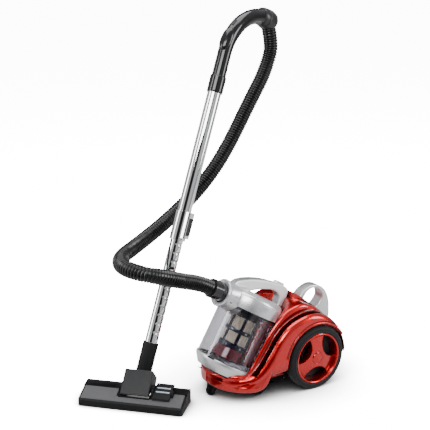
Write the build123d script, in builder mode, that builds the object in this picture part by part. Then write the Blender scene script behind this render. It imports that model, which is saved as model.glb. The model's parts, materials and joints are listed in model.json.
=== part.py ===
"""Bagless canister vacuum cleaner: canister, dust cup, hose, telescopic wand and floor head.

Millimetres, +Z up, floor at z = 0.  The canister's nose points to -X and its road wheels
turn about Y.  Every group has its own helper plane, so its sketches read in local terms.
"""
import os
from math import cos, pi, radians, sin, tan

from build123d import *

os.makedirs("parts", exist_ok=True)

# ---------------------------------------------------------------- driving dimensions
AXLE_X, AXLE_Y = 199.5, -76.1      # rear axle centre, seen from above
WALL = 2.6                         # moulded wall thickness

WHEEL_R, WHEEL_W = 82.0, 38.0      # road wheel
WHEEL_FACE_Y = 117.0               # outer face of each wheel from the centre plane
WELL_R = 89.0                      # wheel arch in the shell
RIM_R = 67.0                       # seat of the tyre on the rim
STUB_R = 7.0                       # stub axle

SHELL_HALF_W = 112.0               # shell half width over the wheel arches
CORE_HALF_W = 82.0                 # half width of the raised middle of the shell
INNER_HALF_W = 70.0                # inner wall of each wheel arch

CUP_TILT = 30.0                    # lean of the dust cup from vertical, towards the rear
CUP_FOOT = (-205.2, 77.2)          # x and z where the clear wall meets the base ring, on the axis
CUP_R = 75.0                       # clear wall, outside
CUP_H = 144.0                      # clear wall height up to the lid
LID_H = 40.0
RING_H = 31.0                      # silver base ring
SEAT_R = CUP_R + 4.5               # hollow of the cradle

COLLAR_S = 158.0                   # height of the hose inlet along the cup axis
COLLAR_R = 32.0
CUFF_END = 138.0                   # front of the lower cuff, from the cup's axis
HOSE_D = 39.0                      # ribbed hose, outside
HOSE_BORE_R = 15.0

TUBE_R, INNER_TUBE_R = 17.5, 16.0  # outer and inner wand tubes, outside
TUBE_WALL = 1.0
WAND_LEAN, WAND_AZIMUTH = 22.96, 18.53
WAND_FOOT = (-399.0, 80.6, 42.0)   # a point on the wand's axis inside the neck
SOCKET_END = 100.0                 # along the wand from its foot
UPPER_START, UPPER_END = 368.0, 740.4
GRIP_STRAIGHT, GRIP_BEND_R = 105.0, 133.0
BALL_R = 27.0

HEAD_CENTRE = (-428.4, 60.6)
HEAD_ANGLE = -45.9                 # turn of the floor head's long axis
HEAD_L, HEAD_D = 264.0, 91.0
HOOD_U = 5.0                       # middle of the neck's hood along the head
NECK_CORNER = 30.0                 # along the wand, where the swivel axis meets it
NECK_DROP = 33.0                   # from that corner down and forwards to the pitch pivot

CASTER_X, CASTER_TRAIL, CASTER_R = -238.0, 8.0, 12.0

# Hose route in canister terms, between the straight bits out of its two cuffs.
HOSE_ROUTE = [
    (97, 250, 788), (72, 244, 740), (36, 238, 692), (-4, 230, 637), (-47, 222, 577),
    (-94, 215, 522), (-151, 209, 469), (-215, 204, 425), (-286, 190, 389), (-362, 164, 364),
    (-432, 114, 360), (-460, 52, 360), (-440, -6, 357), (-392, -26, 345), (-338, -12, 322),
]
ELBOW_EXIT = (0.28, 0.08, -0.957)  # way the hose leaves the handle's ball elbow


# ---------------------------------------------------------------- helper planes
def at(x, y, z):
    """A point given in canister terms (axle centre on the floor)."""
    return Vector(AXLE_X + x, AXLE_Y + y, z)


def side(y):
    """Upright plane facing -Y whose sketch x and y are canister x and z."""
    return Plane(origin=at(0, y, 0), x_dir=(1, 0, 0), z_dir=(0, -1, 0))


TILT = radians(CUP_TILT)
CUP_AXIS = Vector(sin(TILT), 0, cos(TILT))
CUP_BACK = Vector(cos(TILT), 0, -sin(TILT))


def cup_plane(s):
    """Plane across the dust cup at height s on its axis; x towards the rear, y as Y."""
    return Plane(origin=at(CUP_FOOT[0], 0, CUP_FOOT[1]) + CUP_AXIS * s, x_dir=CUP_BACK, z_dir=CUP_AXIS)


def cup_side(y=0.0):
    """Plane along the dust cup: sketch x to the rear across the axis, sketch y up the axis."""
    return Plane(origin=at(CUP_FOOT[0], y, CUP_FOOT[1]), x_dir=CUP_BACK, z_dir=(0, -1, 0))


def cuff_plane(r):
    """Plane across the hose inlet at distance r in front of the cup's axis."""
    return Plane(origin=cup_plane(COLLAR_S).origin - CUP_BACK * r, x_dir=(0, 1, 0), z_dir=CUP_BACK * -1)


LEAN, WAZ = radians(WAND_LEAN), radians(WAND_AZIMUTH)
WAND_Z = Vector(sin(LEAN) * cos(WAZ), sin(LEAN) * sin(WAZ), cos(LEAN))
WAND_X = Vector(cos(LEAN) * cos(WAZ), cos(LEAN) * sin(WAZ), -sin(LEAN))


def wand_plane(t):
    """Plane across the wand at distance t from its foot."""
    return Plane(origin=at(*WAND_FOOT) + WAND_Z * t, x_dir=WAND_X, z_dir=WAND_Z)


def wand_side():
    """Plane along the wand in which the handle curves: x forwards, y up the wand."""
    return Plane(origin=at(*WAND_FOOT), x_dir=WAND_X, z_dir=WAND_X.cross(WAND_Z))


HA = radians(HEAD_ANGLE)
HEAD_U = Vector(cos(HA), sin(HA), 0)
HEAD_V = Vector(-sin(HA), cos(HA), 0)


def head_point(u, v, z):
    """A point given in floor-head terms: along, towards the rear, up."""
    return at(HEAD_CENTRE[0], HEAD_CENTRE[1], z) + HEAD_U * u + HEAD_V * v


def head_plane(z):
    return Plane(origin=head_point(0, 0, z), x_dir=HEAD_U, z_dir=(0, 0, 1))


def head_across(u):
    """Upright plane across the floor head: sketch x to the rear, sketch y up."""
    return Plane(origin=head_point(u, 0, 0), x_dir=HEAD_V, z_dir=HEAD_U)


def outline(points):
    """Closed polygon in the current sketch, at its own coordinates."""
    Polygon(*points, align=None)


def save(builder, name):
    builder.part.label = name
    export_step(builder.part, f"parts/{name}.step")


# ---------------------------------------------------------------- outlines of the canister
CORE = [(-274, 58), (-276, 79), (-240, 64), (-206, 55), (-190, 60), (-172, 86), (-150, 120),
        (-125, 157), (-99, 187), (-64, 212), (-22, 220), (7, 209), (30, 192), (58, 166),
        (80, 138), (91, 100), (92, 40), (-205, 40), (-255, 44)]
CAVITY = [(-100, 30), (-104, 150), (-84, 188), (-60, 207), (-22, 216), (5, 205), (27, 189),
          (55, 163), (77, 136), (88, 99), (89, 30)]
ARCH = [(-262, 50), (-262, 72), (-225, 64), (-190, 68), (-170, 75), (-149, 92), (-129, 120),
        (-109, 152), (-82, 176), (-47, 192), (-12, 197), (21, 190), (52, 168), (75, 134),
        (88, 94), (91, 74), (80, 70), (0, 60), (-85, 80), (-116, 84), (-127, 80), (-137, 61), (-150, 44),
        (-167, 36), (-191, 38), (-221, 43)]
COVER = [(60.5, 168), (82, 168), (104, 146), (140, 116), (151, 104), (151, 84), (134, 56),
         (100, 40), (92.3, 40), (91.3, 100), (80.3, 138.3)]
COVER_INSIDE = [(86, 160), (101, 143), (138, 112), (147, 101), (147, 86), (131, 59), (99, 43.5),
                (88, 43.5), (88, 100), (78, 142)]
TRAY = [(-268, 66), (-160, 6.5), (-146, 6.5), (-118, 24), (70, 28), (96, 39.7), (70, 39.7),
        (50, 31), (-120, 27.5), (-149, 10.2), (-158.5, 10.2), (-250, 61), (-256, 63)]


def plan_outline(half_width, nose_x, tail_x):
    """The canister seen from above, with a round nose."""
    with BuildLine() as half:
        Spline((nose_x, 0), (nose_x + 12, half_width * 0.62), (nose_x + 62, half_width * 0.93),
               (nose_x + 140, half_width), tangents=((0, 1), (1, 0)))
        Line((nose_x + 140, half_width), (tail_x, half_width))
        Line((tail_x, half_width), (tail_x, 0))
        Line((tail_x, 0), (nose_x, 0))
    make_face(half.edges())
    mirror(about=Plane.XZ)


def plan_plane(z=0.0):
    return Plane(origin=at(0, 0, z))


def handle_channel(half_width, depth):
    """The upright groove behind the cup in which its handle's rear post slides."""
    with BuildPart() as groove:
        with BuildSketch(cup_plane(167)):
            with Locations((depth - 30, 0)):
                Rectangle(60, 2 * half_width)
        extrude(amount=170)
    return groove.part


POST_GROOVE = handle_channel(16.5, 88)
POST_GROOVE_WALL = handle_channel(19, 91)


SCREWS = [(x, y) for x in (-70, 70) for y in (-63.4, 63.4)]


# ---------------------------------------------------------------- canister
with BuildPart() as cavity:
    with BuildSketch(side(0)):
        outline(CAVITY)
    extrude(amount=INNER_HALF_W - WALL, both=True)
    with BuildSketch(cup_plane(-60)):
        Circle(SEAT_R + WALL)
    extrude(amount=330, mode=Mode.SUBTRACT)
    add(POST_GROOVE_WALL, mode=Mode.SUBTRACT)

with BuildPart() as upper_shell:
    with BuildSketch(side(0)):
        outline(CORE)
    extrude(amount=CORE_HALF_W, both=True)
    with BuildSketch(side(0)):
        outline(ARCH)
    extrude(amount=SHELL_HALF_W, both=True)
    with BuildSketch(plan_plane(0)):
        plan_outline(SHELL_HALF_W, -276, 110)
    extrude(amount=260, mode=Mode.INTERSECT)
    with BuildSketch(cup_plane(-RING_H - 3.0)):
        Circle(SEAT_R)
    extrude(amount=330, mode=Mode.SUBTRACT)
    for y, away in ((-INNER_HALF_W, 1), (INNER_HALF_W, -1)):
        with BuildSketch(side(y)):
            with Locations((0, WHEEL_R)):
                Circle(WELL_R)
        extrude(amount=away * 60, mode=Mode.SUBTRACT)
    add(cavity.part, mode=Mode.SUBTRACT)
    add(POST_GROOVE, mode=Mode.SUBTRACT)
    # bosses for the screws that hold the tray
    with BuildSketch(plan_plane(41)):
        with Locations(*SCREWS):
            Circle(5)
    extrude(amount=21)
    with BuildSketch(plan_plane(41)):
        with Locations(*SCREWS):
            Circle(2)
    extrude(amount=18, mode=Mode.SUBTRACT)
    # hollow under the nose, above the tray
    with BuildSketch(side(0)):
        outline([(-262, 36), (-262, 60), (-250, 57.5), (-205, 36)])
    extrude(amount=50, both=True, mode=Mode.SUBTRACT)
    # room for the caster boss
    with BuildSketch(plan_plane(30)):
        with Locations((CASTER_X, 0)):
            Circle(20)
    extrude(amount=24, mode=Mode.SUBTRACT)
    # bores for the stub axles, which are pressed into the inner walls of the arches
    with BuildSketch(side(0)):
        with Locations((0, WHEEL_R)):
            Circle(STUB_R)
    extrude(amount=INNER_HALF_W + 4, both=True, mode=Mode.SUBTRACT)
    # windows for the two foot pedals
    for y in (-46, 46):
        with BuildSketch(plan_plane(150)):
            with Locations((36, y)):
                Rectangle(37, 31)
        extrude(amount=80, mode=Mode.SUBTRACT)
save(upper_shell, "upper_shell")

with BuildPart() as base_tray:
    with BuildSketch(side(0)):
        outline(TRAY)
    extrude(amount=76, both=True)
    with BuildSketch(plan_plane(0)):
        plan_outline(90, -266, 110)
    extrude(amount=80, mode=Mode.INTERSECT)
    # the tray narrows between the road wheels
    for y in (-1, 1):
        with BuildSketch(plan_plane(0)):
            with Locations((20, y * (INNER_HALF_W + 17))):
                Rectangle(250, 40)
        extrude(amount=80, mode=Mode.SUBTRACT)
    # side skirts beside the wheels, up to the shell
    for y in (-1, 1):
        with BuildSketch(side(y * (INNER_HALF_W - 5.0))):
            outline([(-146, 8), (-118, 25), (66, 29), (88, 39.5), (-138, 39.5)])
        extrude(amount=WALL if y < 0 else -WALL)
    # boss that carries the caster's pivot
    with BuildSketch(plan_plane(29)):
        with Locations((CASTER_X, 0)):
            Circle(17)
    extrude(amount=22)
    with BuildSketch(plan_plane(20)):
        with Locations((CASTER_X, 0)):
            Circle(5.06)
    extrude(amount=26, mode=Mode.SUBTRACT)
    with BuildSketch(cup_plane(-RING_H - 3.0)):
        Circle(SEAT_R)
    extrude(amount=60, mode=Mode.SUBTRACT)
    with BuildSketch(plan_plane(29)):
        with Locations(*SCREWS):
            Circle(5)
    extrude(amount=12)
    with BuildSketch(plan_plane(20)):
        with Locations(*SCREWS):
            Circle(4.3)
    extrude(amount=10, mode=Mode.SUBTRACT)
    with BuildSketch(plan_plane(20)):
        with Locations(*SCREWS):
            Circle(2.3)
    extrude(amount=22, mode=Mode.SUBTRACT)
    add(upper_shell.part, mode=Mode.SUBTRACT)
save(base_tray, "base_tray")

with BuildPart() as handle_fairing:
    with BuildSketch(side(0)):
        outline([(-30, 196), (-17, 234), (10, 216), (42, 190), (20, 186)])
    extrude(amount=30, both=True)
    with BuildSketch(side(0)):
        outline([(-60, 205), (-22, 219), (-8, 216), (16, 200), (16, 170), (-60, 170)])
    extrude(amount=26, both=True, mode=Mode.SUBTRACT)
    with BuildSketch(cup_plane(100)):
        Circle(SEAT_R)
    extrude(amount=200, mode=Mode.SUBTRACT)
    add(POST_GROOVE, mode=Mode.SUBTRACT)
    with BuildSketch(side(0)):
        outline(CORE)
    extrude(amount=CORE_HALF_W, both=True, mode=Mode.SUBTRACT)
save(handle_fairing, "handle_fairing")

with BuildPart() as rear_cover:
    with BuildSketch(side(0)):
        outline(COVER)
    extrude(amount=64, both=True)
    with BuildSketch(plan_plane(0)):
        with BuildLine():
            Polyline((50, -64), (50, 64), (118, 64))
            ThreePointArc((118, 64), (152, 0), (118, -64))
            Line((118, -64), (50, -64))
        make_face()
    extrude(amount=260, mode=Mode.INTERSECT)
    with BuildSketch(side(0)):
        outline(COVER_INSIDE)
    extrude(amount=58, both=True, mode=Mode.SUBTRACT)
    # exhaust louvres through the sloping panel
    slope = Plane(origin=at(122, 0, 131), x_dir=(0, 1, 0), z_dir=(0.64, 0, 0.77))
    with BuildSketch(slope):
        with GridLocations(14, 8, 6, 3):
            SlotOverall(11, 4)
    extrude(amount=14, both=True, mode=Mode.SUBTRACT)
    with BuildSketch(Plane(origin=at(140, 0, 66), x_dir=(0, 1, 0), z_dir=(1, 0, 0))):
        with Locations((-30, 0)):
            Circle(7.5)
    extrude(amount=20, both=True, mode=Mode.SUBTRACT)
save(rear_cover, "rear_cover")

with BuildPart() as carry_handle:
    with BuildSketch(side(0)):
        with BuildLine():
            Spline((8, 200), (30, 227), (58, 230), (85, 219), (110, 199), (124, 172), (120, 128),
                   tangents=((0.5, 1), (-0.35, -1)))
            Line((120, 128), (82, 150))
            Spline((82, 150), (92, 174), (90, 190), (74, 199), (51, 201), (34, 192),
                   tangents=((0.5, 1), (-0.9, -1)))
            Line((34, 192), (8, 200))
        make_face()
    extrude(amount=21, both=True)
    for keep_out in (CORE, COVER):
        with BuildSketch(side(0)):
            outline(keep_out)
        extrude(amount=CORE_HALF_W, both=True, mode=Mode.SUBTRACT)
    with BuildSketch(side(0)):
        outline([(-30, 196), (-17, 234), (10, 216), (42, 190), (20, 186)])
    extrude(amount=30, both=True, mode=Mode.SUBTRACT)
save(carry_handle, "carry_handle")

with BuildPart() as exhaust_filter:
    with BuildSketch(side(0)):
        outline([(101, 62), (112, 66), (112, 124), (101, 134)])
    extrude(amount=52, both=True)
save(exhaust_filter, "exhaust_filter")

MOTOR_X, MOTOR_Y, MOTOR_Z = -24.0, -20.0, 98.0


def motor_plane(x):
    return Plane(origin=at(x, MOTOR_Y, MOTOR_Z), x_dir=(0, 1, 0), z_dir=(1, 0, 0))


with BuildPart() as motor_housing:
    with BuildSketch(motor_plane(MOTOR_X - 32)):
        Circle(44)
    extrude(amount=92)
    with BuildSketch(motor_plane(MOTOR_X - 29)):
        Circle(41)
    extrude(amount=86, mode=Mode.SUBTRACT)
    with BuildSketch(motor_plane(MOTOR_X - 34)):
        Circle(22)
    extrude(amount=8, mode=Mode.SUBTRACT)
    with BuildSketch(motor_plane(MOTOR_X + 56)):
        with PolarLocations(27, 8):
            Circle(6)
        Circle(3.06)
    extrude(amount=8, mode=Mode.SUBTRACT)
save(motor_housing, "motor_housing")

with BuildPart() as motor_stator:
    with BuildSketch(motor_plane(MOTOR_X + 8)):
        Circle(40.7)
        Circle(19, mode=Mode.SUBTRACT)
    extrude(amount=38)
save(motor_stator, "motor_stator")

with BuildPart() as motor_rotor:
    with BuildSketch(motor_plane(MOTOR_X - 26)):
        Circle(3)
    extrude(amount=90)
    with BuildSketch(motor_plane(MOTOR_X + 10)):
        Circle(17.5)
    extrude(amount=34)
    with BuildSketch(motor_plane(MOTOR_X - 24)):
        Circle(38)
    extrude(amount=2)
    with BuildSketch(motor_plane(MOTOR_X - 22)):
        with PolarLocations(24, 9):
            Rectangle(26, 1.6)
    extrude(amount=14)
save(motor_rotor, "motor_rotor")

with BuildPart() as motor_mounts:
    for x, start in ((MOTOR_X - 40, 0), (MOTOR_X + 60.2, 0)):
        with BuildSketch(motor_plane(x)):
            Circle(44)
            Circle(36, mode=Mode.SUBTRACT)
        extrude(amount=7.8)
save(motor_mounts, "motor_mounts")

REEL_Y = 30.0
REEL_X, REEL_Z, REEL_R = 14.0, 100.0, 48.0
with BuildPart() as cord_reel:
    with BuildSketch(side(REEL_Y + 34)):
        with Locations((REEL_X, REEL_Z)):
            Circle(REEL_R)
            Circle(8.06, mode=Mode.SUBTRACT)
    extrude(amount=2.4)
    with BuildSketch(side(REEL_Y + 31.6)):
        with Locations((REEL_X, REEL_Z)):
            Circle(22)
            Circle(8.06, mode=Mode.SUBTRACT)
    extrude(amount=27)
    with BuildSketch(side(REEL_Y + 4.6)):
        with Locations((REEL_X, REEL_Z)):
            Circle(REEL_R)
            Circle(8.06, mode=Mode.SUBTRACT)
    extrude(amount=2.4)
save(cord_reel, "cord_reel")

with BuildPart() as reel_axle:
    with BuildSketch(side(INNER_HALF_W - WALL)):
        with Locations((REEL_X, REEL_Z)):
            Circle(8)
    extrude(amount=41)
save(reel_axle, "reel_axle")

with BuildPart() as intake_duct:
    with BuildSketch(side(0)):
        outline([(-72, 70), (-70, 128), (-67.5, 128), (-67.5, 70)])
    extrude(amount=44, both=True)
save(intake_duct, "intake_duct")

with BuildPart() as premotor_filter:
    with BuildSketch(motor_plane(MOTOR_X - 43.2)):
        Circle(33)
    extrude(amount=9)
save(premotor_filter, "premotor_filter")


# foot pedals: one for power, one to rewind the cord
def pedal(y):
    """Cap that stands a little proud of the shell in its window, with a stem below."""
    with BuildPart() as cap:
        with BuildSketch(side(y + 14.5)):
            outline([(19.5, 204), (32, 195.5), (53.5, 175), (53.5, 160), (19.5, 160)])
        extrude(amount=29)
        with BuildSketch(plan_plane(155)):
            with Locations((36, y)):
                Circle(5)
        extrude(amount=5)
    return cap


save(pedal(-46), "power_pedal")
save(pedal(46), "rewind_pedal")

with BuildPart() as power_switch:
    with BuildSketch(plan_plane(144)):
        with Locations((36, -46)):
            Rectangle(20, 16)
    extrude(amount=6)
save(power_switch, "power_switch")

with BuildPart() as cord_gland:
    with BuildSketch(Plane(origin=at(129, -30, 66), x_dir=(0, 1, 0), z_dir=(1, 0, 0))):
        Circle(7.4)
        Circle(4, mode=Mode.SUBTRACT)
    extrude(amount=13)
save(cord_gland, "cord_gland")

with BuildPart() as wheel_axles:
    for y, away in ((-INNER_HALF_W + WALL, 1), (INNER_HALF_W - WALL, -1)):
        with BuildSketch(side(y)):
            with Locations((0, WHEEL_R)):
                Circle(STUB_R)
        extrude(amount=away * 42)
save(wheel_axles, "wheel_axles")

with BuildPart() as body_screws:
    with BuildSketch(plan_plane(27)):
        with Locations(*SCREWS):
            Circle(4)
    extrude(amount=3)
    with BuildSketch(plan_plane(30)):
        with Locations(*SCREWS):
            Circle(2)
    extrude(amount=28)
save(body_screws, "body_screws")

# ---------------------------------------------------------------- road wheels
def tyre(out):
    """Rubber tyre; out is -1 for the left wheel and 1 for the right."""
    inner = WHEEL_FACE_Y - WHEEL_W
    with BuildPart() as ring:
        with BuildSketch(plan_plane(WHEEL_R)):
            outline([(RIM_R, out * (inner + 4)), (WHEEL_R - 4, out * (inner + 4)),
                     (WHEEL_R, out * (inner + 9)), (WHEEL_R, out * (WHEEL_FACE_Y - 6)),
                     (WHEEL_R - 5, out * WHEEL_FACE_Y), (RIM_R, out * WHEEL_FACE_Y)])
        revolve(axis=Axis(at(0, 0, WHEEL_R), (0, 1, 0)))
    return ring


def rim(out):
    """Red rim with three broad spokes and a hub that runs on the stub axle."""
    inner = WHEEL_FACE_Y - WHEEL_W
    away = 1 if out < 0 else -1
    with BuildPart() as hub:
        with BuildSketch(side(out * inner)):
            with Locations((0, WHEEL_R)):
                Circle(RIM_R)
                Circle(RIM_R - 6, mode=Mode.SUBTRACT)
        extrude(amount=away * (WHEEL_W - 1))
        with BuildSketch(side(out * inner)):
            with Locations((0, WHEEL_R)):
                Circle(RIM_R - 5.5)
        extrude(amount=away * 3)
        with BuildSketch(side(out * (inner + 3))):
            with Locations((0, WHEEL_R)):
                Circle(24)
                with PolarLocations(40, 3, start_angle=90):
                    Rectangle(48, 30)
        extrude(amount=away * (WHEEL_W - 10))
        with BuildSketch(side(out * (inner - 0.5))):
            with Locations((0, WHEEL_R)):
                Circle(STUB_R + 0.06)
        extrude(amount=away * (WHEEL_W - 6), mode=Mode.SUBTRACT)
    return hub


for name, out in (("left", -1), ("right", 1)):
    save(tyre(out), f"tyre_{name}")
    save(rim(out), f"rim_{name}")

# ---------------------------------------------------------------- caster under the nose
with BuildPart() as caster_fork:
    with BuildSketch(plan_plane(25.5)):
        with Locations((CASTER_X, 0)):
            SlotOverall(26, 22)
    extrude(amount=3.2)
    with BuildSketch(plan_plane(28)):
        with Locations((CASTER_X, 0)):
            Circle(5)
    extrude(amount=17)
    for y in (-7.4, 10.0):
        with BuildSketch(side(y)):
            with BuildLine():
                Polyline((CASTER_X - 13, 27), (CASTER_X + 9, 27), (CASTER_X - CASTER_TRAIL + 7, 9),
                         (CASTER_X - CASTER_TRAIL - 6, 8), close=True)
            make_face()
        extrude(amount=2.6)
    with BuildSketch(side(10)):
        with Locations((CASTER_X - CASTER_TRAIL, CASTER_R)):
            Circle(2)
    extrude(amount=20)
save(caster_fork, "caster_fork")

with BuildPart() as caster_wheel:
    with BuildSketch(side(7)):
        with Locations((CASTER_X - CASTER_TRAIL, CASTER_R)):
            Circle(CASTER_R)
            Circle(2.06, mode=Mode.SUBTRACT)
    extrude(amount=14)
    rims = caster_wheel.edges().filter_by(GeomType.CIRCLE).sort_by(SortBy.RADIUS)[-2:]
    fillet(rims, 3)
save(caster_wheel, "caster_wheel")

# ---------------------------------------------------------------- dust cup
with BuildPart() as cup_wall:
    with BuildSketch(cup_plane(0)):
        Circle(CUP_R)
        Circle(CUP_R - 2.4, mode=Mode.SUBTRACT)
    extrude(amount=CUP_H)
    # mouth behind the hose inlet
    with BuildSketch(cuff_plane(10)):
        Circle(COLLAR_R - 0.9)
    extrude(amount=90, mode=Mode.SUBTRACT)
save(cup_wall, "cup_wall")

with BuildPart() as inlet_collar:
    with BuildSketch(cuff_plane(66)):
        Circle(COLLAR_R - 1)
        Circle(23, mode=Mode.SUBTRACT)
    extrude(amount=37)
    with BuildSketch(cuff_plane(90)):
        Circle(COLLAR_R + 1)
        Circle(23, mode=Mode.SUBTRACT)
    extrude(amount=13)
save(inlet_collar, "inlet_collar")

with BuildPart() as cup_lid:
    with BuildSketch(cup_side()):
        with BuildLine():
            Polyline((0, CUP_H + 0.2), (CUP_R + 2, CUP_H + 0.2), (CUP_R + 2, CUP_H + 30),
                     (CUP_R - 6, CUP_H + LID_H), (0, CUP_H + LID_H + 4), close=True)
        make_face()
    revolve(axis=Axis(cup_plane(0).origin, CUP_AXIS))
    with BuildSketch(cup_side()):
        with BuildLine():
            Polyline((0, CUP_H), (CUP_R - 2.6, CUP_H), (CUP_R - 2.6, CUP_H + 28),
                     (CUP_R - 10, CUP_H + LID_H - 4), (0, CUP_H + LID_H), close=True)
        make_face()
    revolve(axis=Axis(cup_plane(0).origin, CUP_AXIS), mode=Mode.SUBTRACT)
    # hole for the hose inlet
    with BuildSketch(cuff_plane(40)):
        Circle(COLLAR_R - 1)
    extrude(amount=60, mode=Mode.SUBTRACT)
    # outlet port at the back
    outlet_origin = cup_plane(COLLAR_S + 4).origin + CUP_BACK * 60
    with BuildSketch(Plane(origin=outlet_origin, x_dir=(0, 1, 0), z_dir=CUP_BACK)):
        Rectangle(40, 18)
    extrude(amount=30, mode=Mode.SUBTRACT)
save(cup_lid, "cup_lid")

with BuildPart() as cup_handle:
    with BuildSketch(cup_side()):
        with BuildLine():
            Spline((-78, 194), (-64, 205), (-35, 218), (0, 227), (36, 232), (70, 234), (86, 228),
                   tangents=((0.8, 1), (0.5, -1)))
            Line((86, 228), (86, 184))
            Line((86, 184), (77.2, 172))
            Line((77.2, 172), (76, 190))
            Spline((76, 190), (70, 209), (44, 214), (5, 204), (-28, 189),
                   tangents=((-0.1, 1), (-1, -0.5)))
            Line((-28, 189), (-70, 172))
            Line((-70, 172), (-78, 194))
        make_face()
    extrude(amount=15, both=True)
    with BuildSketch(cup_side()):
        with BuildLine():
            Polyline((-86, 100), (CUP_R + 2.1, 100), (CUP_R + 2.1, CUP_H + 30), (CUP_R - 6, CUP_H + LID_H),
                     (0, CUP_H + LID_H + 4), (-CUP_R + 6, CUP_H + LID_H), (-86, CUP_H + 32), close=True)
        make_face()
    extrude(amount=40, both=True, mode=Mode.SUBTRACT)
    add(inlet_collar.part, mode=Mode.SUBTRACT)
    # well for the release button
    with BuildSketch(Plane(origin=cup_plane(222).origin + CUP_BACK * 52, x_dir=CUP_BACK, z_dir=CUP_AXIS)):
        RectangleRounded(26.6, 16.6, 5)
    extrude(amount=20, mode=Mode.SUBTRACT)
save(cup_handle, "cup_handle")

with BuildPart() as release_button:
    with BuildSketch(Plane(origin=cup_plane(226.6).origin + CUP_BACK * 52, x_dir=CUP_BACK, z_dir=CUP_AXIS)):
        RectangleRounded(26, 16, 4.7)
    extrude(amount=10)
save(release_button, "release_button")

with BuildPart() as cup_base_ring:
    with BuildSketch(cup_side()):
        with BuildLine():
            Polyline((66, -RING_H), (71, -RING_H), (CUP_R + 2.5, -3), (CUP_R + 2.5, 3), (CUP_R + 0.1, 3),
                     (CUP_R + 0.1, -0.2), (66, -0.2), close=True)
        make_face()
    revolve(axis=Axis(cup_plane(0).origin, CUP_AXIS))
save(cup_base_ring, "cup_base_ring")

with BuildPart() as bottom_door:
    with BuildSketch(cup_plane(-RING_H + 2)):
        Circle(65.8)
    extrude(amount=4)
    with BuildSketch(cup_plane(-RING_H + 6)):
        Circle(65.8)
        Circle(62, mode=Mode.SUBTRACT)
    extrude(amount=12)
save(bottom_door, "bottom_door")

with BuildPart() as cup_seals:
    with BuildSketch(cup_plane(-12.8)):
        Circle(65.9)
        Circle(61, mode=Mode.SUBTRACT)
    extrude(amount=3)
    with BuildSketch(cup_plane(CUP_H - 6)):
        Circle(CUP_R - 2.5)
        Circle(CUP_R - 6, mode=Mode.SUBTRACT)
    extrude(amount=5.8)
    with BuildSketch(cuff_plane(10)):
        Circle(COLLAR_R - 0.9)
    extrude(amount=90, mode=Mode.SUBTRACT)
save(cup_seals, "cup_seals")

CAGE_R = 35.0
WINDOW_W, WINDOW_H = 21.0, 28.0
with BuildPart() as filter_cage:
    with BuildSketch(cup_plane(42)):
        Circle(CAGE_R)
        Circle(CAGE_R - 3, mode=Mode.SUBTRACT)
    extrude(amount=101.8)
    for s in (50, 88):
        for angle in range(30, 180, 60):
            turned = cup_plane(s).rotated((0, 0, angle))
            with BuildSketch(Plane(origin=turned.origin, x_dir=turned.y_dir, z_dir=turned.x_dir)):
                with Locations((0, WINDOW_H / 2)):
                    Rectangle(WINDOW_W, WINDOW_H)
            extrude(amount=60, both=True, mode=Mode.SUBTRACT)
    with BuildSketch(cup_plane(CUP_H - 6)):
        Circle(CAGE_R + 6)
        Circle(CAGE_R - 5, mode=Mode.SUBTRACT)
    extrude(amount=5.8)
save(filter_cage, "filter_cage")

with BuildPart() as filter_pleats:
    with BuildSketch(cup_plane(43)):
        Circle(CAGE_R - 3.3)
        Circle(14, mode=Mode.SUBTRACT)
    extrude(amount=92)
save(filter_pleats, "filter_pleats")

with BuildPart() as filter_skirt:
    with BuildSketch(cup_side()):
        with BuildLine():
            Polyline((0, 38), (CAGE_R, 41.8), (44, 14), (41, 14), (CAGE_R - 4, 37), (0, 34), close=True)
        make_face()
    revolve(axis=Axis(cup_plane(0).origin, CUP_AXIS))
save(filter_skirt, "filter_skirt")

# ---------------------------------------------------------------- hose and its cuffs
with BuildPart() as hose_cuff_lower:
    with BuildSketch(cuff_plane(84)):
        Circle(22.7)
        Circle(HOSE_BORE_R, mode=Mode.SUBTRACT)
    extrude(amount=19.3)
    with BuildSketch(cuff_plane(103.3)):
        Circle(24)
        Circle(HOSE_BORE_R, mode=Mode.SUBTRACT)
    extrude(amount=CUFF_END - 103.3)
save(hose_cuff_lower, "hose_cuff_lower")

GRIP_TOP = UPPER_END + GRIP_STRAIGHT + GRIP_BEND_R
BALL_CENTRE = wand_side().from_local_coords(Vector(GRIP_BEND_R + 5, GRIP_TOP, 0))
EXIT = Vector(*ELBOW_EXIT).normalized()
EXIT_DISTANCE = 35.0               # from the ball's centre to the end of the ribbed hose
HOSE_POINTS = [BALL_CENTRE + EXIT * EXIT_DISTANCE, BALL_CENTRE + EXIT * EXIT_DISTANCE * 2]
HOSE_POINTS += [at(*p) for p in HOSE_ROUTE]
HOSE_POINTS += [cuff_plane(CUFF_END + 34).origin, cuff_plane(CUFF_END).origin]
print("hose points", [tuple(round(c, 1) for c in p) for p in HOSE_POINTS])


def bend_radii(points):
    """Largest easy radius at each inner point: 0.45 of the shorter run."""
    radii = []
    for before, here, after in zip(points, points[1:], points[2:]):
        run_in, run_out = here - before, after - here
        turn = radians(run_in.get_angle(run_out))
        radii.append(0.45 * min(run_in.length, run_out.length) / tan(turn / 2))
    return radii


HOSE_RADII = bend_radii(HOSE_POINTS)
print("hose radii", [round(r) for r in HOSE_RADII])
print("hose runs", [round((b - a).length) for a, b in zip(HOSE_POINTS, HOSE_POINTS[1:])])

# The hose is made in two lengths, because each of its ends moves with a joint of its own.
UPPER_RUNS = 8                     # runs of the route in the upper length, before its half run
SPLIT = (HOSE_POINTS[UPPER_RUNS] + HOSE_POINTS[UPPER_RUNS + 1]) / 2
print("hose split", [round(c, 1) for c in SPLIT])


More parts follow.
